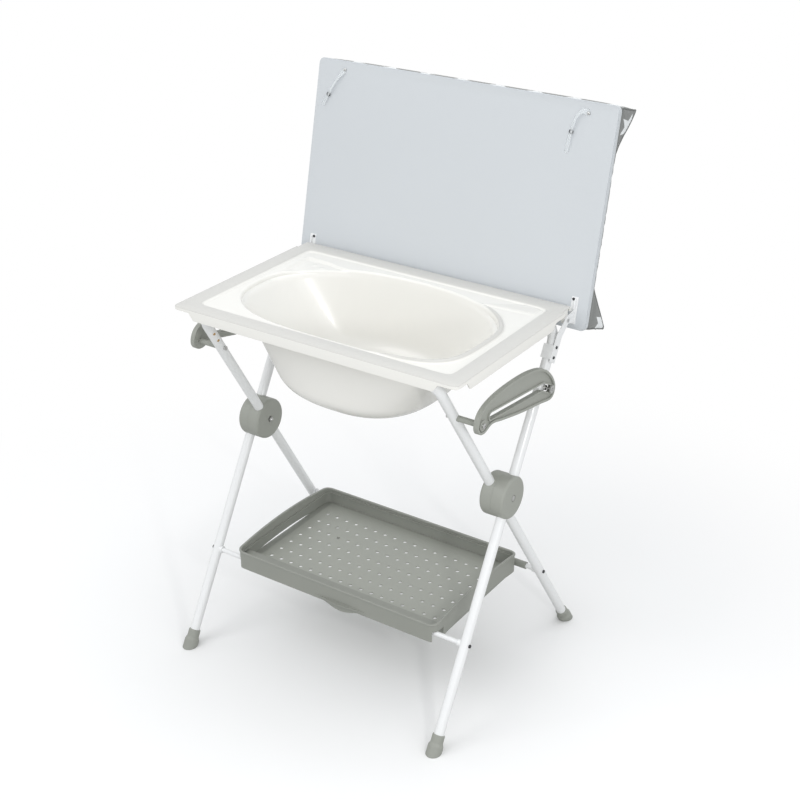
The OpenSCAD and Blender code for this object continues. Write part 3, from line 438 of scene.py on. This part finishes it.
def outer_faces(node, facing):
    """For each screw of a CAD node: the middle of its outer face, the way it faces and its radius."""
    bm = bmesh.new()
    bm.from_mesh(frame["nodes"][node].data)
    bmesh.ops.remove_doubles(bm, verts=bm.verts, dist=1e-5)
    left, found = set(bm.verts), []
    while left:
        stack = [left.pop()]
        island = list(stack)
        while stack:
            for e in stack.pop().link_edges:
                for w in e.verts:
                    if w in left:
                        left.discard(w)
                        stack.append(w)
                        island.append(w)
        co = np.array([v.co for v in island])
        way = facing or Vector((math.copysign(1, co[:, 0].mean()), 0, 0))
        reach = co @ np.array(way)
        top = co[reach > reach.max() - 2e-4]
        mid = (top.min(0) + top.max(0)) / 2
        found.append((mid, tuple(way), float(np.linalg.norm(top - mid, axis=1).max())))
    bm.free()
    return found


screw_sets = {}
for names, way, finish, share in (
        (("bracket_screws", "front_cross_screws", "rear_cross_screws"), None, "dark_screws", 0.92),
        (("leaf_screws",), -outward, "dark_screws", 0.92), (("strap_screws",), -outward, "bright_steel", 0.85),
        (("hub_bolt_left", "hub_bolt_right", "link_bolt_left", "link_bolt_right"), None, "bright_steel", 0.8)):
    for node in names:
        for mid, facing, radius in outer_faces(node, way):
            screw_sets.setdefault((body_of[node], finish), []).append((mid, facing, radius * share))
for (body, finish), rows in screw_sets.items():
    ob = head_tree.run("heads_" + body + "_" + finish, [row[0] for row in rows],
                       fields={"facing": [row[1] for row in rows], "size": [row[2] for row in rows]},
                       Dome=0.34, Slot=0.24, Material=SLOT_MAT[finish])
    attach(ob, body)
print("screw heads:", {k[0]: len(v) for k, v in screw_sets.items()})

# %% [markdown]
# ## The tray's rolled rim
# The moulded tray ends in a thick round edge. A bead follows the top of its walls, level along the front
# and back and bowed up over the ends.

# %%
TRAY = dict(half=0.3055, mid=0.004, deep=0.1975, corner=0.0185, top=0.262, arch=0.016)


def tray_rim():
    pts = []
    r, hx, hy = TRAY["corner"], TRAY["half"], TRAY["deep"]
    for cx, cy, start in ((1, 1, 0), (-1, 1, 90), (-1, -1, 180), (1, -1, 270)):
        for k in range(9):
            a = math.radians(start + 11.25 * k)
            pts.append((cx * (hx - r) + r * math.cos(a), cy * (hy - r) + r * math.sin(a)))
    out = []
    for (x0, y0), (x1, y1) in zip(pts, pts[1:] + pts[:1]):
        steps = max(1, int(math.hypot(x1 - x0, y1 - y0) / 0.012))
        out += [(x0 + (x1 - x0) * k / steps, y0 + (y1 - y0) * k / steps) for k in range(steps)]
    path = []
    for x, y in out:
        on_end = min(1.0, max(0.0, (abs(x) - (hx - 0.014)) / 0.008))
        rise = on_end * TRAY["arch"] * (1 - (y / 0.199) ** 2)
        path.append((x, y + TRAY["mid"] + hub_y, TRAY["top"] - 0.0015 + rise))
    return path


rim = tray_rim()
roll = bead_tree.run("tray_rim_roll", rim, chain(len(rim), True), Radius=0.0034, Material=tray_grey)
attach(roll, "tray")
print("tray rim: a bead through", len(rim), "points")

# %% [markdown]
# ## The tub
# One closed skin made of loops round the bowl. A loop is a rounded outline whose reach to the left,
# right, front and back can differ, so the same rule gives the rim, the sloping walls and the floor.

# %%
MM = 0.001
TUB_L, TUB_W, RIM = 400.0, 263.0, 958.0
MID_Y = -4.0
BORDER, STEP, WALL = 42.0, 5.0, 3.4
PLATEAU = RIM - STEP
BOWL_L, BOWL_R, BOWL_F, BOWL_B = 336.0, 322.0, 204.0, 198.0
SLOPE_L, SLOPE_R, SLOPE_F, SLOPE_B = 100.0, 112.0, 15.0, 10.0
FALL, ROUND = 215.0, 50.0
STRAIGHT = FALL - ROUND
FLOOR_SQUARE = 2.4
DRAIN_X, DRAIN_R, DRAIN_SEAT, DRAIN_DIP = 20.0, 24.0, 34.0, 3.0


def smooth(t):
    t = np.clip(t, 0, 1)
    return t * t * (3 - 2 * t)


def rim_stops(step=8.0, fine=2.0):
    """Directions from the tub's middle, denser where the skirt steps."""
    fine_x = np.arange(334, 357, fine)
    xs = np.unique(np.concatenate([np.arange(-396, 397, step), fine_x, -fine_x]))
    ys = np.unique(np.concatenate([np.arange(-258, 259, step), np.arange(-224, -201, fine),
                                   np.arange(160, 183, fine)]))
    pts = [(-TUB_L, -TUB_W)] + [(x, -TUB_W) for x in xs] + [(TUB_L, -TUB_W)] + [(TUB_L, y) for y in ys]
    pts += [(TUB_L, TUB_W)] + [(x, TUB_W) for x in xs[::-1]] + [(-TUB_L, TUB_W)] + [(-TUB_L, y) for y in ys[::-1]]
    p = np.array(pts)
    return p / np.linalg.norm(p, axis=1)[:, None]


D = rim_stops()
# the mouth is round at the back and nearly square at the front right
MOUTH = np.where(D[:, 1] > 0, 2.1, np.where(D[:, 0] < 0, 2.8, 4.5))


def loop(l, r, f, b, n, z):
    a = np.where(D[:, 0] < 0, l, r)
    c = np.where(D[:, 1] < 0, f, b)
    q = (np.abs(D[:, 0] / a) ** n + np.abs(D[:, 1] / c) ** n) ** (-1.0 / n)
    return np.column_stack([q * D[:, 0], q * D[:, 1] + MID_Y, np.full(len(D), float(z))])


def rim_loop(inset, z, n=60):
    return loop(TUB_L - inset, TUB_L - inset, TUB_W - inset, TUB_W - inset, n, z)


def skirt_loop(inset):
    p = rim_loop(inset, 0)
    ax, fy = np.abs(p[:, 0]), p[:, 1] - MID_Y + TUB_W
    by = 2 * TUB_W - fy
    s_long = 1 - smooth((ax - 345 + 9) / 18)
    s_end = np.minimum(smooth((fy - 50 + 9) / 18), smooth((by - 92 + 9) / 18))
    low = np.where(fy > TUB_W, 11.0, 9.0)
    s = np.where(ax > TUB_L - 5, s_end, s_long)
    p[:, 2] = RIM - (low + (27.0 - low) * s)
    return p


def bowl_loop(depth, inset=0.0, out=0.0):
    """The bowl at a depth below its land; inset draws it in, out moves it through the wall."""
    t = depth / FALL
    k = depth / STRAIGHT
    deep = 0.6 * out if out > WALL + 3 else out
    return loop(BOWL_L - SLOPE_L * k - inset + out, BOWL_R - SLOPE_R * k - inset + out,
                BOWL_F - SLOPE_F * k - inset * 1.25 + deep, BOWL_B - SLOPE_B * k - inset * 1.1 + deep,
                MOUTH * (1 - t) + FLOOR_SQUARE * t, PLATEAU - depth)


def bowl_corner(deg, out):
    a = math.radians(deg)
    return bowl_loop(STRAIGHT + ROUND * math.sin(a), ROUND * (1 - math.cos(a)), out * math.cos(a))


def drain_ring(r, z):
    return np.column_stack([DRAIN_X + r * D[:, 0], MID_Y + r * D[:, 1], np.full(len(D), z)])


def lowered(l, dz):
    l = l.copy()
    l[:, 2] -= dz
    return l


# a narrow raised roll round the right end, for the bather's arms
ARM = 7.5 * smooth((D[:, 0] - 0.5) / 0.25) * smooth((0.7 - D[:, 1]) / 0.3)


def relief(p, share=1.0):
    """A shallow soap shelf at the back left with two pips, and a low pad at the back right."""
    x, y = p[:, 0], p[:, 1]
    edge = 166 + 12 * smooth((-x - 200) / 80)
    shelf = smooth((edge - y) / 5) * smooth((x + 335) / 7) * smooth((-108 - x) / 12) * smooth((y - 60) / 40)
    rise, across = y - 157, x - 196
    pad = smooth((rise - 0.075 * across) / 5) * smooth((0.57 * across - rise) / 6) * smooth((346 - x) / 5)
    pips = sum(np.exp(-((x - u) ** 2 + (y - v) ** 2) / 28.0) for u, v in ((-290, 150), (-261, 143)))
    return p + share * np.column_stack([0 * x, 0 * x, 2.6 * pad - 5.0 * shelf + 2.0 * pips])


def lip(out, dz, arm, share=1.0):
    """The bowl's edge: out from its wall, dz down, with that share of the arm roll and of the relief."""
    l = bowl_loop(0, 0, out)
    l[:, 2] += ARM * arm - dz
    return relief(l, share)


edge_out = rim_loop(BORDER + 5, PLATEAU, 30)
edge_in = bowl_loop(0, 0, 19)
LAND = 22
flat = [relief(edge_out * (1 - k / LAND) + edge_in * (k / LAND)) for k in range(1, LAND)]
loops = [skirt_loop(0), rim_loop(0, RIM - 2.0), rim_loop(0.6, RIM - 0.7), rim_loop(2.0, RIM),
         rim_loop(BORDER - 1.5, RIM, 34), rim_loop(BORDER, RIM - 0.4, 34), rim_loop(BORDER + 4, PLATEAU + 0.5, 32),
         edge_out]
loops += flat + [lip(19, 0, 0.0), lip(16.5, 0, 0.12), lip(14.5, 0, 0.55), lip(12.5, 0, 0.9), lip(10, 0, 1.0),
                 lip(6.5, 0, 0.98), lip(3.5, 0.4, 0.85), lip(1.5, 1.6, 0.6, 0.9), lip(0.0, 3.4, 0.35, 0.7),
                 lip(-0.7, 6, 0.12, 0.45), lip(-1, 9, 0, 0.2)]
loops += [bowl_loop(13 + (STRAIGHT - 13) * k / 14, 0, -1) for k in range(0, 15)]
loops += [bowl_corner(90 * k / 14, -1) for k in range(1, 15)]
drain_z = PLATEAU - FALL - DRAIN_DIP
seat, last = drain_ring(DRAIN_SEAT, drain_z), bowl_corner(90, -1)
loops += [last * (1 - t) + seat * t for t in (0.2, 0.4, 0.6, 0.8)]
loops += [seat, drain_ring(DRAIN_R, drain_z), drain_ring(DRAIN_R, drain_z - WALL), lowered(seat, WALL)]
loops += [lowered(last * (1 - t) + seat * t, WALL) for t in (0.75, 0.5, 0.25)]
loops += [lowered(bowl_corner(90 * k / 12, WALL - 1), WALL * math.sin(math.radians(7.5 * k)))
          for k in range(12, 0, -1)]
loops += [bowl_loop(13 + (STRAIGHT - 13) * k / 12, 0, WALL - 1) for k in range(12, 0, -1)]
loops += [bowl_loop(WALL + 8, 0, WALL), bowl_loop(WALL + 5, 0, WALL + 3), rim_loop(BORDER + 3, PLATEAU - WALL),
          rim_loop(BORDER - 2, RIM - WALL), rim_loop(WALL, RIM - WALL), skirt_loop(WALL)]

n = len(D)
verts = np.concatenate(loops) * MM
verts[:, 1] += hub_y
faces = [(j * n + i, j * n + (i + 1) % n, ((j + 1) % len(loops)) * n + (i + 1) % n, ((j + 1) % len(loops)) * n + i)
         for j in range(len(loops)) for i in range(n)]
tub = mesh_object("tub_skin", verts, faces, tub_mat)


def block(name, low, high, material):
    x0, y0, z0 = low
    x1, y1, z1 = high
    v = [(x, y, z) for x in (x0, x1) for y in (y0, y1) for z in (z0, z1)]
    f = [(0, 1, 3, 2), (4, 6, 7, 5), (0, 4, 5, 1), (2, 3, 7, 6), (0, 2, 6, 4), (1, 5, 7, 3)]
    return mesh_object(name, v, f, material, False)


def carve(ob, cutter, operation="DIFFERENCE"):
    m = ob.modifiers.new("carve", "BOOLEAN")
    m.operation = operation
    m.object = cutter
    m.solver = "EXACT"
    bake(ob)
    bpy.data.objects.remove(cutter)


for s in (-1, 1):
    x0, x1 = sorted((s * 0.3928, s * 0.42))
    carve(tub, block("slot_cut", (x0, hub_y + 0.216, 0.931), (x1, hub_y + 0.30, 0.991), tub_mat))
    x0, x1 = sorted((s * 0.3846, s * 0.3924))
    lug = block("lug", (x0, hinge.y - 0.009, hinge.z - 0.004), (x1, hinge.y + 0.009, 0.9556), tub_mat)
    carve(tub, lug, "UNION")
    bpy.ops.mesh.primitive_cylinder_add(vertices=48, radius=0.009, depth=0.0078,
                                        location=(s * 0.3885, hinge.y, hinge.z), rotation=(0, math.pi / 2, 0))
    eye = bpy.context.object
    eye.data.transform(eye.matrix_world)
    eye.matrix_world = Matrix.Identity(4)
    carve(tub, eye, "UNION")
keep_sharp(tub, 38)
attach(tub, "tub")
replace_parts(tub, "tub")
print("tub:", len(tub.data.vertices), "vertices")

# %% [markdown]
# ## The changing mat
# A section of straight runs with a soft swell, carried along the board. The cloth's pattern follows
# the surface, so each point keeps its distance round the section as a texture coordinate.

# %%
FACE = 37.5 + 12.0
CORNERS = np.array([[-23, FACE], [-36, FACE + 107], [80, FACE + 7], [238, FACE + 7], [397, FACE + 7],
                    [500, FACE + 87], [507, FACE]], float)
SWELL = [2.5, 8, 16, 16, 8, 2.5]
HALF = 431.4


def mat_section(e, per=14):
    pts = []
    for k in range(6):
        a, b = CORNERS[k], CORNERS[k + 1]
        d = b - a
        nrm = np.array([-d[1], d[0]]) / np.linalg.norm(d)
        for j in range(per):
            t = j / per
            quarter = math.pi / 2 * t
            h = math.sin(quarter) if k == 2 else math.cos(quarter) if k == 3 else math.sin(2 * quarter)
            pts.append(a + d * t + nrm * h * SWELL[k] * e)
    pts.append(CORNERS[6])
    return np.array(pts)


def build_mat():
    us = np.sin(np.linspace(-math.pi / 2, math.pi / 2, 97))
    base_n = 24
    verts, uv = [], []
    for u in us:
        e = max(0.0, math.cos(math.pi / 2 * abs(u) ** 3))
        up = mat_section(e)
        up[:, 1] = FACE + (up[:, 1] - FACE) * (1 - 0.05 * abs(u) ** 8)
        dist = np.concatenate([[0], np.cumsum(np.linalg.norm(np.diff(up, axis=0), axis=1))])
        base = np.linspace(CORNERS[6], CORNERS[0], base_n + 2)[1:-1]
        ring = np.vstack([up, base])
        dist = np.concatenate([dist, dist[-1] + np.linspace(0, 530, base_n + 2)[1:-1]])
        for (a, o), w in zip(ring, dist):
            verts.append(on_board(u * HALF * MM, a * MM, o * MM))
            uv.append((u * HALF * MM, w * MM))
    n = len(mat_section(1)) + base_n
    faces = [(j * n + i, j * n + (i + 1) % n, (j + 1) * n + (i + 1) % n, (j + 1) * n + i)
             for j in range(len(us) - 1) for i in range(n)]
    faces += [tuple(range(n - 1, -1, -1)), tuple((len(us) - 1) * n + i for i in range(n))]
    return verts, faces, uv


STAR_PITCH = 0.105
cloth = Paint("star cloth", CLOTH, 0.72, IOR=1.4, Sheen_Weight=0.25, Sheen_Roughness=0.5)


def star_field(p, u, v, pitch, radius, shift=0.0, turn=0.0):
    """White five-pointed stars in staggered rows; u and v in metres. Returns 0 or 1."""
    row = (v / pitch).floor()
    odd = row.fmod(2.0)
    x = (u / pitch + odd * 0.5 + shift).fmod(1.0) - 0.5
    y = (v / pitch).fmod(1.0) - 0.5
    r = (x * x + y * y).sqrt() * pitch
    cell = (u / pitch + odd * 0.5 + shift).floor()
    spin = (cell * 12.9 + row * 78.2 + turn).sin() * 1.4
    fold = (2 * math.pi / 5)
    a = ((x.atan2(y) + spin + 10 * fold + fold / 2).fmod(fold) - fold / 2).abs()
    px, py = r * a.cos(), r * a.sin()
    inner = radius * 0.46
    ix, iy = inner * math.cos(math.pi / 5), inner * math.sin(math.pi / 5)
    # the straight edge from a tip to the notch beside it
    side = (px - radius) * iy - py * (ix - radius)
    return (side * (1.0 / radius)).ramp(0.0004, -0.0004)


uvn = cloth.node("ShaderNodeUVMap", 0, uv_map="cloth")
sep = cloth.t.nodes.new("ShaderNodeSeparateXYZ")
cloth.t.links.new(uvn.s, sep.inputs[0])
U, V = Sig(cloth.t, sep.outputs[0]), Sig(cloth.t, sep.outputs[1])
big = star_field(cloth, U + 0.02, V + 0.012, STAR_PITCH, 0.026)
small = star_field(cloth, U + 0.055, V + 0.065, STAR_PITCH, 0.0125, 0.27, 2.0)
stars = big.max(small)
weave = (U * 5200.0).sin() * (V * 5200.0).sin()
mottle = cloth.noise(14.0, 4.0)
cloth.set(Base_Color=cloth.mix(stars, (0, 0, 0), (0.80, 0.82, 0.83)), Roughness=0.68 + mottle * 0.1)
ground = cloth.mix(mottle, shade(CLOTH, 0.93), shade(CLOTH, 1.07))
mix_node = cloth.b.inputs["Base Color"].links[0].from_node
cloth.t.links.new(ground.s, mix_node.inputs[6])
cloth.bump(weave * 0.5 + cloth.noise(300.0, 2.0), 0.0002, 0.5)

verts, faces, uv = build_mat()
mat = mesh_object("changing_mat", verts, faces, cloth)


def give_uv(ob):
    """A uv layer: x along the board, then distance round the section; the ends are cut from a flat cloth."""
    layer = ob.data.uv_layers.new(name="cloth")
    for face in ob.data.polygons:
        flat_end = abs(face.normal.x) > 0.6
        for k in face.loop_indices:
            co = ob.data.vertices[ob.data.loops[k].vertex_index].co
            layer.data[k].uv = end_place(co) if flat_end else cloth_place(co)


SECTION = mat_section(1.0, 40)
SECTION_LEN = np.concatenate([[0], np.cumsum(np.linalg.norm(np.diff(SECTION, axis=0), axis=1))]) * MM


def cloth_place(co):
    d = co - Vector((0, hinge.y, hinge.z))
    a, o = d.dot(along) / MM, d.dot(outward) / MM
    k = int(np.argmin((SECTION[:, 0] - a) ** 2 + (SECTION[:, 1] - o) ** 2))
    return (co.x, float(SECTION_LEN[k]))


def end_place(co):
    """On the mat's ends one star sits near the upper tip and one near the lower."""
    d = co - Vector((0, hinge.y, hinge.z))
    a, o = d.dot(along), d.dot(outward)
    u, v = (a - 0.461, o - 0.097) if a > 0.24 else (a + 0.014, o - 0.120)
    return (u / 1.25 + STAR_PITCH / 2 - 0.02, v / 1.6 + STAR_PITCH / 2 - 0.012)


def puff(ob, voxel=0.006, pressure=4.0, cap=0.012):
    """Blows the cover up a little with the cloth solver, so it hangs in folds between its seams."""
    rest = ob.data.copy()
    m = ob.modifiers.new("remesh", "REMESH")
    m.mode, m.voxel_size = "VOXEL", voxel
    bake(ob)
    start = np.array([v.co for v in ob.data.vertices])
    # the flat face stays on the board, and so do the seams at the tips
    g = ob.vertex_groups.new(name="held")
    for v in ob.data.vertices:
        d = v.co - Vector((0, hinge.y, hinge.z))
        a, o = d.dot(along) / MM, d.dot(outward) / MM
        if o < FACE + 2.5 or (a > 492 and o > FACE + 70) or (a < -28 and o > FACE + 90):
            g.add([v.index], 1.0, "REPLACE")
    c = ob.modifiers.new("cloth", "CLOTH")
    s = c.settings
    s.quality, s.mass, s.tension_stiffness, s.compression_stiffness = 6, 0.4, 12, 6
    s.bending_stiffness, s.use_pressure, s.uniform_pressure_force = 0.6, True, pressure
    s.vertex_group_mass, s.pin_stiffness, s.effector_weights.gravity = "held", 1.0, 0.0
    c.point_cache.frame_start, c.point_cache.frame_end = 1, 20
    scene = bpy.context.scene
    for f in range(1, 21):
        scene.frame_set(f)
    bake(ob)
    scene.frame_set(1)
    moved = np.array([v.co for v in ob.data.vertices]) - start
    length = np.linalg.norm(moved, axis=1)
    keep = np.minimum(1.0, cap / np.maximum(length, 1e-9))
    for v, p, m_, k in zip(ob.data.vertices, start, moved, keep):
        v.co = p + m_ * k
    print("mat puffed: largest move %.1f mm, capped at %.1f mm" % (length.max() * 1000, cap * 1000))


began = time.time()
puff(mat)
give_uv(mat)
keep_sharp(mat, 50)
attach(mat, "board")
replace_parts(mat, "mattress")
print("mat: %d vertices, %.0f s" % (len(mat.data.vertices), time.time() - began))

# %% [markdown]
# ## Seams of the mat
# Piping runs round both ends and along the two tips, and rows of stitches run beside it. Their lines
# are drawn on the rest shape and then dropped onto the finished surface.

# %%
from mathutils.bvhtree import BVHTree

skin = BVHTree.FromObject(mat, bpy.context.evaluated_depsgraph_get())


def on_skin(points, lift):
    out = []
    for p in points:
        place, normal, _, _ = skin.find_nearest(Vector(p))
        out.append(place + normal * lift)
    return out


def end_line(side):
    ring = np.vstack([mat_section(0.0, 12), CORNERS[:1]])
    ring[:, 1] = FACE + (ring[:, 1] - FACE) * 0.95
    pts = []
    for a, b in zip(ring[:-1], ring[1:]):
        steps = max(1, int(np.linalg.norm(b - a) / 9))
        pts += [a + (b - a) * k / steps for k in range(steps)]
    return [on_board(side * (HALF - 0.5) * MM, a * MM, o * MM) for a, o in pts]


def row_line(k, t, inset=12.0):
    p = CORNERS[k] + (CORNERS[k + 1] - CORNERS[k]) * t
    return [on_board(x * MM, p[0] * MM, p[1] * MM) for x in np.arange(-HALF + inset, HALF - inset + 1, 8.0)]


cord_cloth = Paint("piping", shade(CLOTH, 0.8), 0.7)
twist = cord_cloth.noise(900.0, 2.0)
cord_cloth.set(Roughness=twist * 0.15 + 0.6).bump(twist, 0.0002, 0.6)
lines = [on_skin(end_line(s), 0.0004) for s in (-1, 1)] + [on_skin(row_line(1, 0.0, 2.0), 0.0004),
                                                          on_skin(row_line(5, 0.0, 2.0), 0.0004)]
verts, edges = [], []
for k, pts in enumerate(lines):
    edges += [(a + len(verts), b + len(verts)) for a, b in chain(len(pts), k < 2)]
    verts += pts
piping = bead_tree.run("mat_piping", verts, edges, Radius=0.0017, Material=cord_cloth)
thread_mat = Paint("stitch thread", (0.42, 0.43, 0.42), 0.6)
ply = thread_mat.noise(2500.0, 2.0)
thread_mat.set(Roughness=ply * 0.2 + 0.5).bump(ply, 0.0001, 0.6)
rows = [on_skin(row_line(k, t), 0.0002) for k, t in ((1, 0.07), (1, 0.97), (4, 0.03), (4, 0.93), (5, 0.1), (0, 0.9))]
verts, edges = [], []
for pts in rows:
    edges += [(a + len(verts), b + len(verts)) for a, b in chain(len(pts))]
    verts += pts
stitches = stitch_tree.run("mat_stitches", verts, edges, Spacing=0.0055, Length=0.0036, Thickness=0.0009,
                           Material=thread_mat)
for ob in (piping, stitches):
    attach(ob, "board")
print("seams:", len(lines), "piped,", len(rows), "stitched")

# %% [markdown]
# ## The closing straps
# A clear band hangs from its screw in a shallow loop, turned partly on edge, and lies flat at both ends.
# Its upper end widens to an eye round the screw, and each snap has a dark ring.

# %%
def strap_band(name, a, b, c, width=13.0, thick=1.0, lift=4.5, steps=40):
    a, b, c = (np.array(p, float) for p in (a, b, c))
    verts, around = [], 8
    for k in range(steps + 1):
        t = k / steps
        p = a * (1 - t) ** 2 + 2 * b * t * (1 - t) + c * t * t
        d = (b - a) * (1 - t) + (c - b) * t
        nrm = np.array([-d[1], d[0]]) / np.linalg.norm(d)
        bow = math.sin(math.pi * t)
        turn = math.radians(32) * bow
        w = width / 2 * math.sqrt(max(0.04, 1 - max(0.0, 1 - min(t, 1 - t) / 0.06) ** 2))
        w *= 1 + 0.5 * max(0.0, 1 - t / 0.14)
        side = Vector((nrm[0], 0, 0)) * math.cos(turn) + along * nrm[1] * math.cos(turn) - outward * math.sin(turn)
        flat = -outward * math.cos(turn) - (Vector((nrm[0], 0, 0)) + along * nrm[1]) * math.sin(turn)
        mid = on_board(p[0] * MM, p[1] * MM, (37.5 - thick / 2 - 0.5 - lift * bow) * MM)
        for j in range(around):
            q = 2 * math.pi * j / around
            verts.append(mid + side * (w * math.cos(q) * MM) + flat * (thick / 2 * math.sin(q) * MM))
    faces = [(k * around + j, k * around + (j + 1) % around, (k + 1) * around + (j + 1) % around,
              (k + 1) * around + j) for k in range(steps) for j in range(around)]
    faces += [tuple(range(around)), tuple(steps * around + j for j in range(around))]
    ob = mesh_object(name, verts, faces, clear)
    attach(ob, "board")
    return ob


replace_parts(strap_band("strap_band_left", (-346, 487), (-372, 455), (-405, 388)), "strap_left")
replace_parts(strap_band("strap_band_right", (353, 482), (318, 505), (310, 381)), "strap_right")
RING_STEPS, RING_SHARE, RING_BEAD = 24, 0.78, 0.0013
for k, (mid, facing, radius) in enumerate(outer_faces("strap_snaps", -outward)):
    mid, facing = Vector(mid), Vector(facing)
    across = Vector((1, 0, 0))
    up = facing.cross(across).normalized()
    turns = [math.tau * j / RING_STEPS for j in range(RING_STEPS)]
    ring = [mid + facing * 0.0002 + (across * math.cos(q) + up * math.sin(q)) * (radius * RING_SHARE)
            for q in turns]
    ob = bead_tree.run("snap_ring_%d" % k, ring, chain(RING_STEPS, True), Radius=RING_BEAD, Material=dark)
    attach(ob, "board")
print("straps: two clear bands, a ring on each snap")

# %% [markdown]
# ## Camera and light
# The camera was fitted to the rim corners, the feet, the hubs and the tray. A white world and three
# wide lamps give the even light of a catalogue photo. Wide lamps keep the shadows soft, and a low
# power keeps the pale mouldings from burning out.

# %%
cam_data = bpy.data.cameras.new("camera")
cam_data.lens, cam_data.sensor_width = 65.626, 36.0
cam_data.clip_end = 50
cam = bpy.data.objects.new("camera", cam_data)
bpy.context.scene.collection.objects.link(cam)
cam.location = (1.8467, -2.63238 + hub_y, 2.31887)
cam.rotation_euler = (math.pi / 2 - 0.465146, 0, 0.592375)
bpy.context.scene.camera = cam


def lamp(name, place, aim, size, watts, color=(1, 1, 1)):
    d = bpy.data.lights.new(name, "AREA")
    d.shape, d.size, d.energy, d.color = "SQUARE", size, watts, color
    o = bpy.data.objects.new(name, d)
    bpy.context.scene.collection.objects.link(o)
    o.location = place
    o.rotation_euler = (Vector(aim) - Vector(place)).to_track_quat("-Z", "Y").to_euler()
    return o


centre = (0, 0, 0.7)
lamp("key", (-1.6, -2.6, 3.6), centre, 2.2, 32)
lamp("fill", (3.2, -2.0, 1.8), centre, 2.4, 15)
lamp("top", (0.2, 0.6, 4.0), centre, 2.6, 22)
print("lamps: three, aimed at", centre)

# %% [markdown]
# ## The window in the bowl
# A glossy bowl shows what stands round it. To put a bright streak where the photo has one, the
# camera's ray is sent through that pixel, bounced off the tub, and a tall lamp is hung along it.

# %%
PHOTO = 800  # the frame's side in pixels
STREAK_TOP, STREAK_MID, STREAK_LOW = (310, 280), (323, 304), (337, 328)


def seen_from(px, py):
    """The camera's ray through a pixel of the frame."""
    f = cam_data.lens / cam_data.sensor_width * PHOTO
    ray = Vector(((px - PHOTO / 2) / f, (PHOTO / 2 - py) / f, -1))
    return (cam.matrix_world.to_3x3() @ ray).normalized()


def mirrored(px, py, distance=2.6):
    """Where a thing must stand for the bowl to mirror it at that pixel."""
    d = seen_from(px, py)
    place, normal, _, _ = tub_skin.ray_cast(cam.location, d)
    return place + (d - 2 * d.dot(normal) * normal) * distance, place


bpy.context.view_layer.update()
tub_skin = BVHTree.FromObject(tub, bpy.context.evaluated_depsgraph_get())
(top_end, _), (low_end, _), (mid_end, spot) = (mirrored(*px) for px in (STREAK_TOP, STREAK_LOW, STREAK_MID))
window = lamp("window", mid_end, spot, 1.0, 7.0)
window.data.shape = "RECTANGLE"
span = top_end - low_end
window.data.size, window.data.size_y = min(0.35, span.length * 0.16), min(2.4, span.length)
away = (mid_end - spot).normalized()
tall = (span - away * span.dot(away)).normalized()
window.matrix_world = Matrix.Translation(mid_end) @ Matrix((tall.cross(away), tall, away)).transposed().to_4x4()
print("window:", tuple(round(v, 2) for v in mid_end), "by", round(window.data.size_y, 2))

# %% [markdown]
# ## Floor and world
# A pale floor takes the shadow near the stand and is plain white further out, so it meets the white
# world without an edge. The camera sees the world white, while its light is a little blue.

# %%
floor_mat = Paint("floor", (0.9, 0.9, 0.9), 0.9, Specular_IOR_Level=0.1)
eye_ray = floor_mat.node("ShaderNodeLightPath")
floor_mat.set(Base_Color=floor_mat.mix(eye_ray, (0.6, 0.6, 0.59), (0.9, 0.9, 0.9)))
fx, fy, _ = floor_mat.xyz()
glow = floor_mat.t.nodes.new("ShaderNodeEmission")
blend = floor_mat.t.nodes.new("ShaderNodeMixShader")
far = (fx * fx + fy * fy).sqrt().ramp(0.7, 1.7) * eye_ray
floor_mat.t.links.new(far.s, blend.inputs[0])
floor_mat.t.links.new(floor_mat.b.outputs[0], blend.inputs[1])
floor_mat.t.links.new(glow.outputs[0], blend.inputs[2])
floor_mat.t.links.new(blend.outputs[0], floor_mat.t.nodes["Material Output"].inputs[0])
floor = mesh_object("floor", [(-20, -20, -0.0004), (20, -20, -0.0004), (20, 20, -0.0004), (-20, 20, -0.0004)],
                    [(0, 1, 2, 3)], floor_mat, False)

world = bpy.data.worlds.new("world")
bpy.context.scene.world = world
world.use_nodes = True
wt = world.node_tree
bg = wt.nodes["Background"]
bg.inputs["Color"].default_value = (0.97, 0.985, 1.0, 1)
bg.inputs["Strength"].default_value = 0.90
seen = wt.nodes.new("ShaderNodeBackground")
seen.inputs["Color"].default_value = (1, 1, 1, 1)
seen.inputs["Strength"].default_value = 1.0
path = wt.nodes.new("ShaderNodeLightPath")
pick = wt.nodes.new("ShaderNodeMixShader")
wt.links.new(path.outputs["Is Camera Ray"], pick.inputs[0])
wt.links.new(bg.outputs[0], pick.inputs[1])
wt.links.new(seen.outputs[0], pick.inputs[2])
wt.links.new(pick.outputs[0], wt.nodes["World Output"].inputs[0])
bpy.context.scene.view_settings.view_transform = "Standard"
print("floor and world: white, light", bg.inputs["Strength"].default_value)
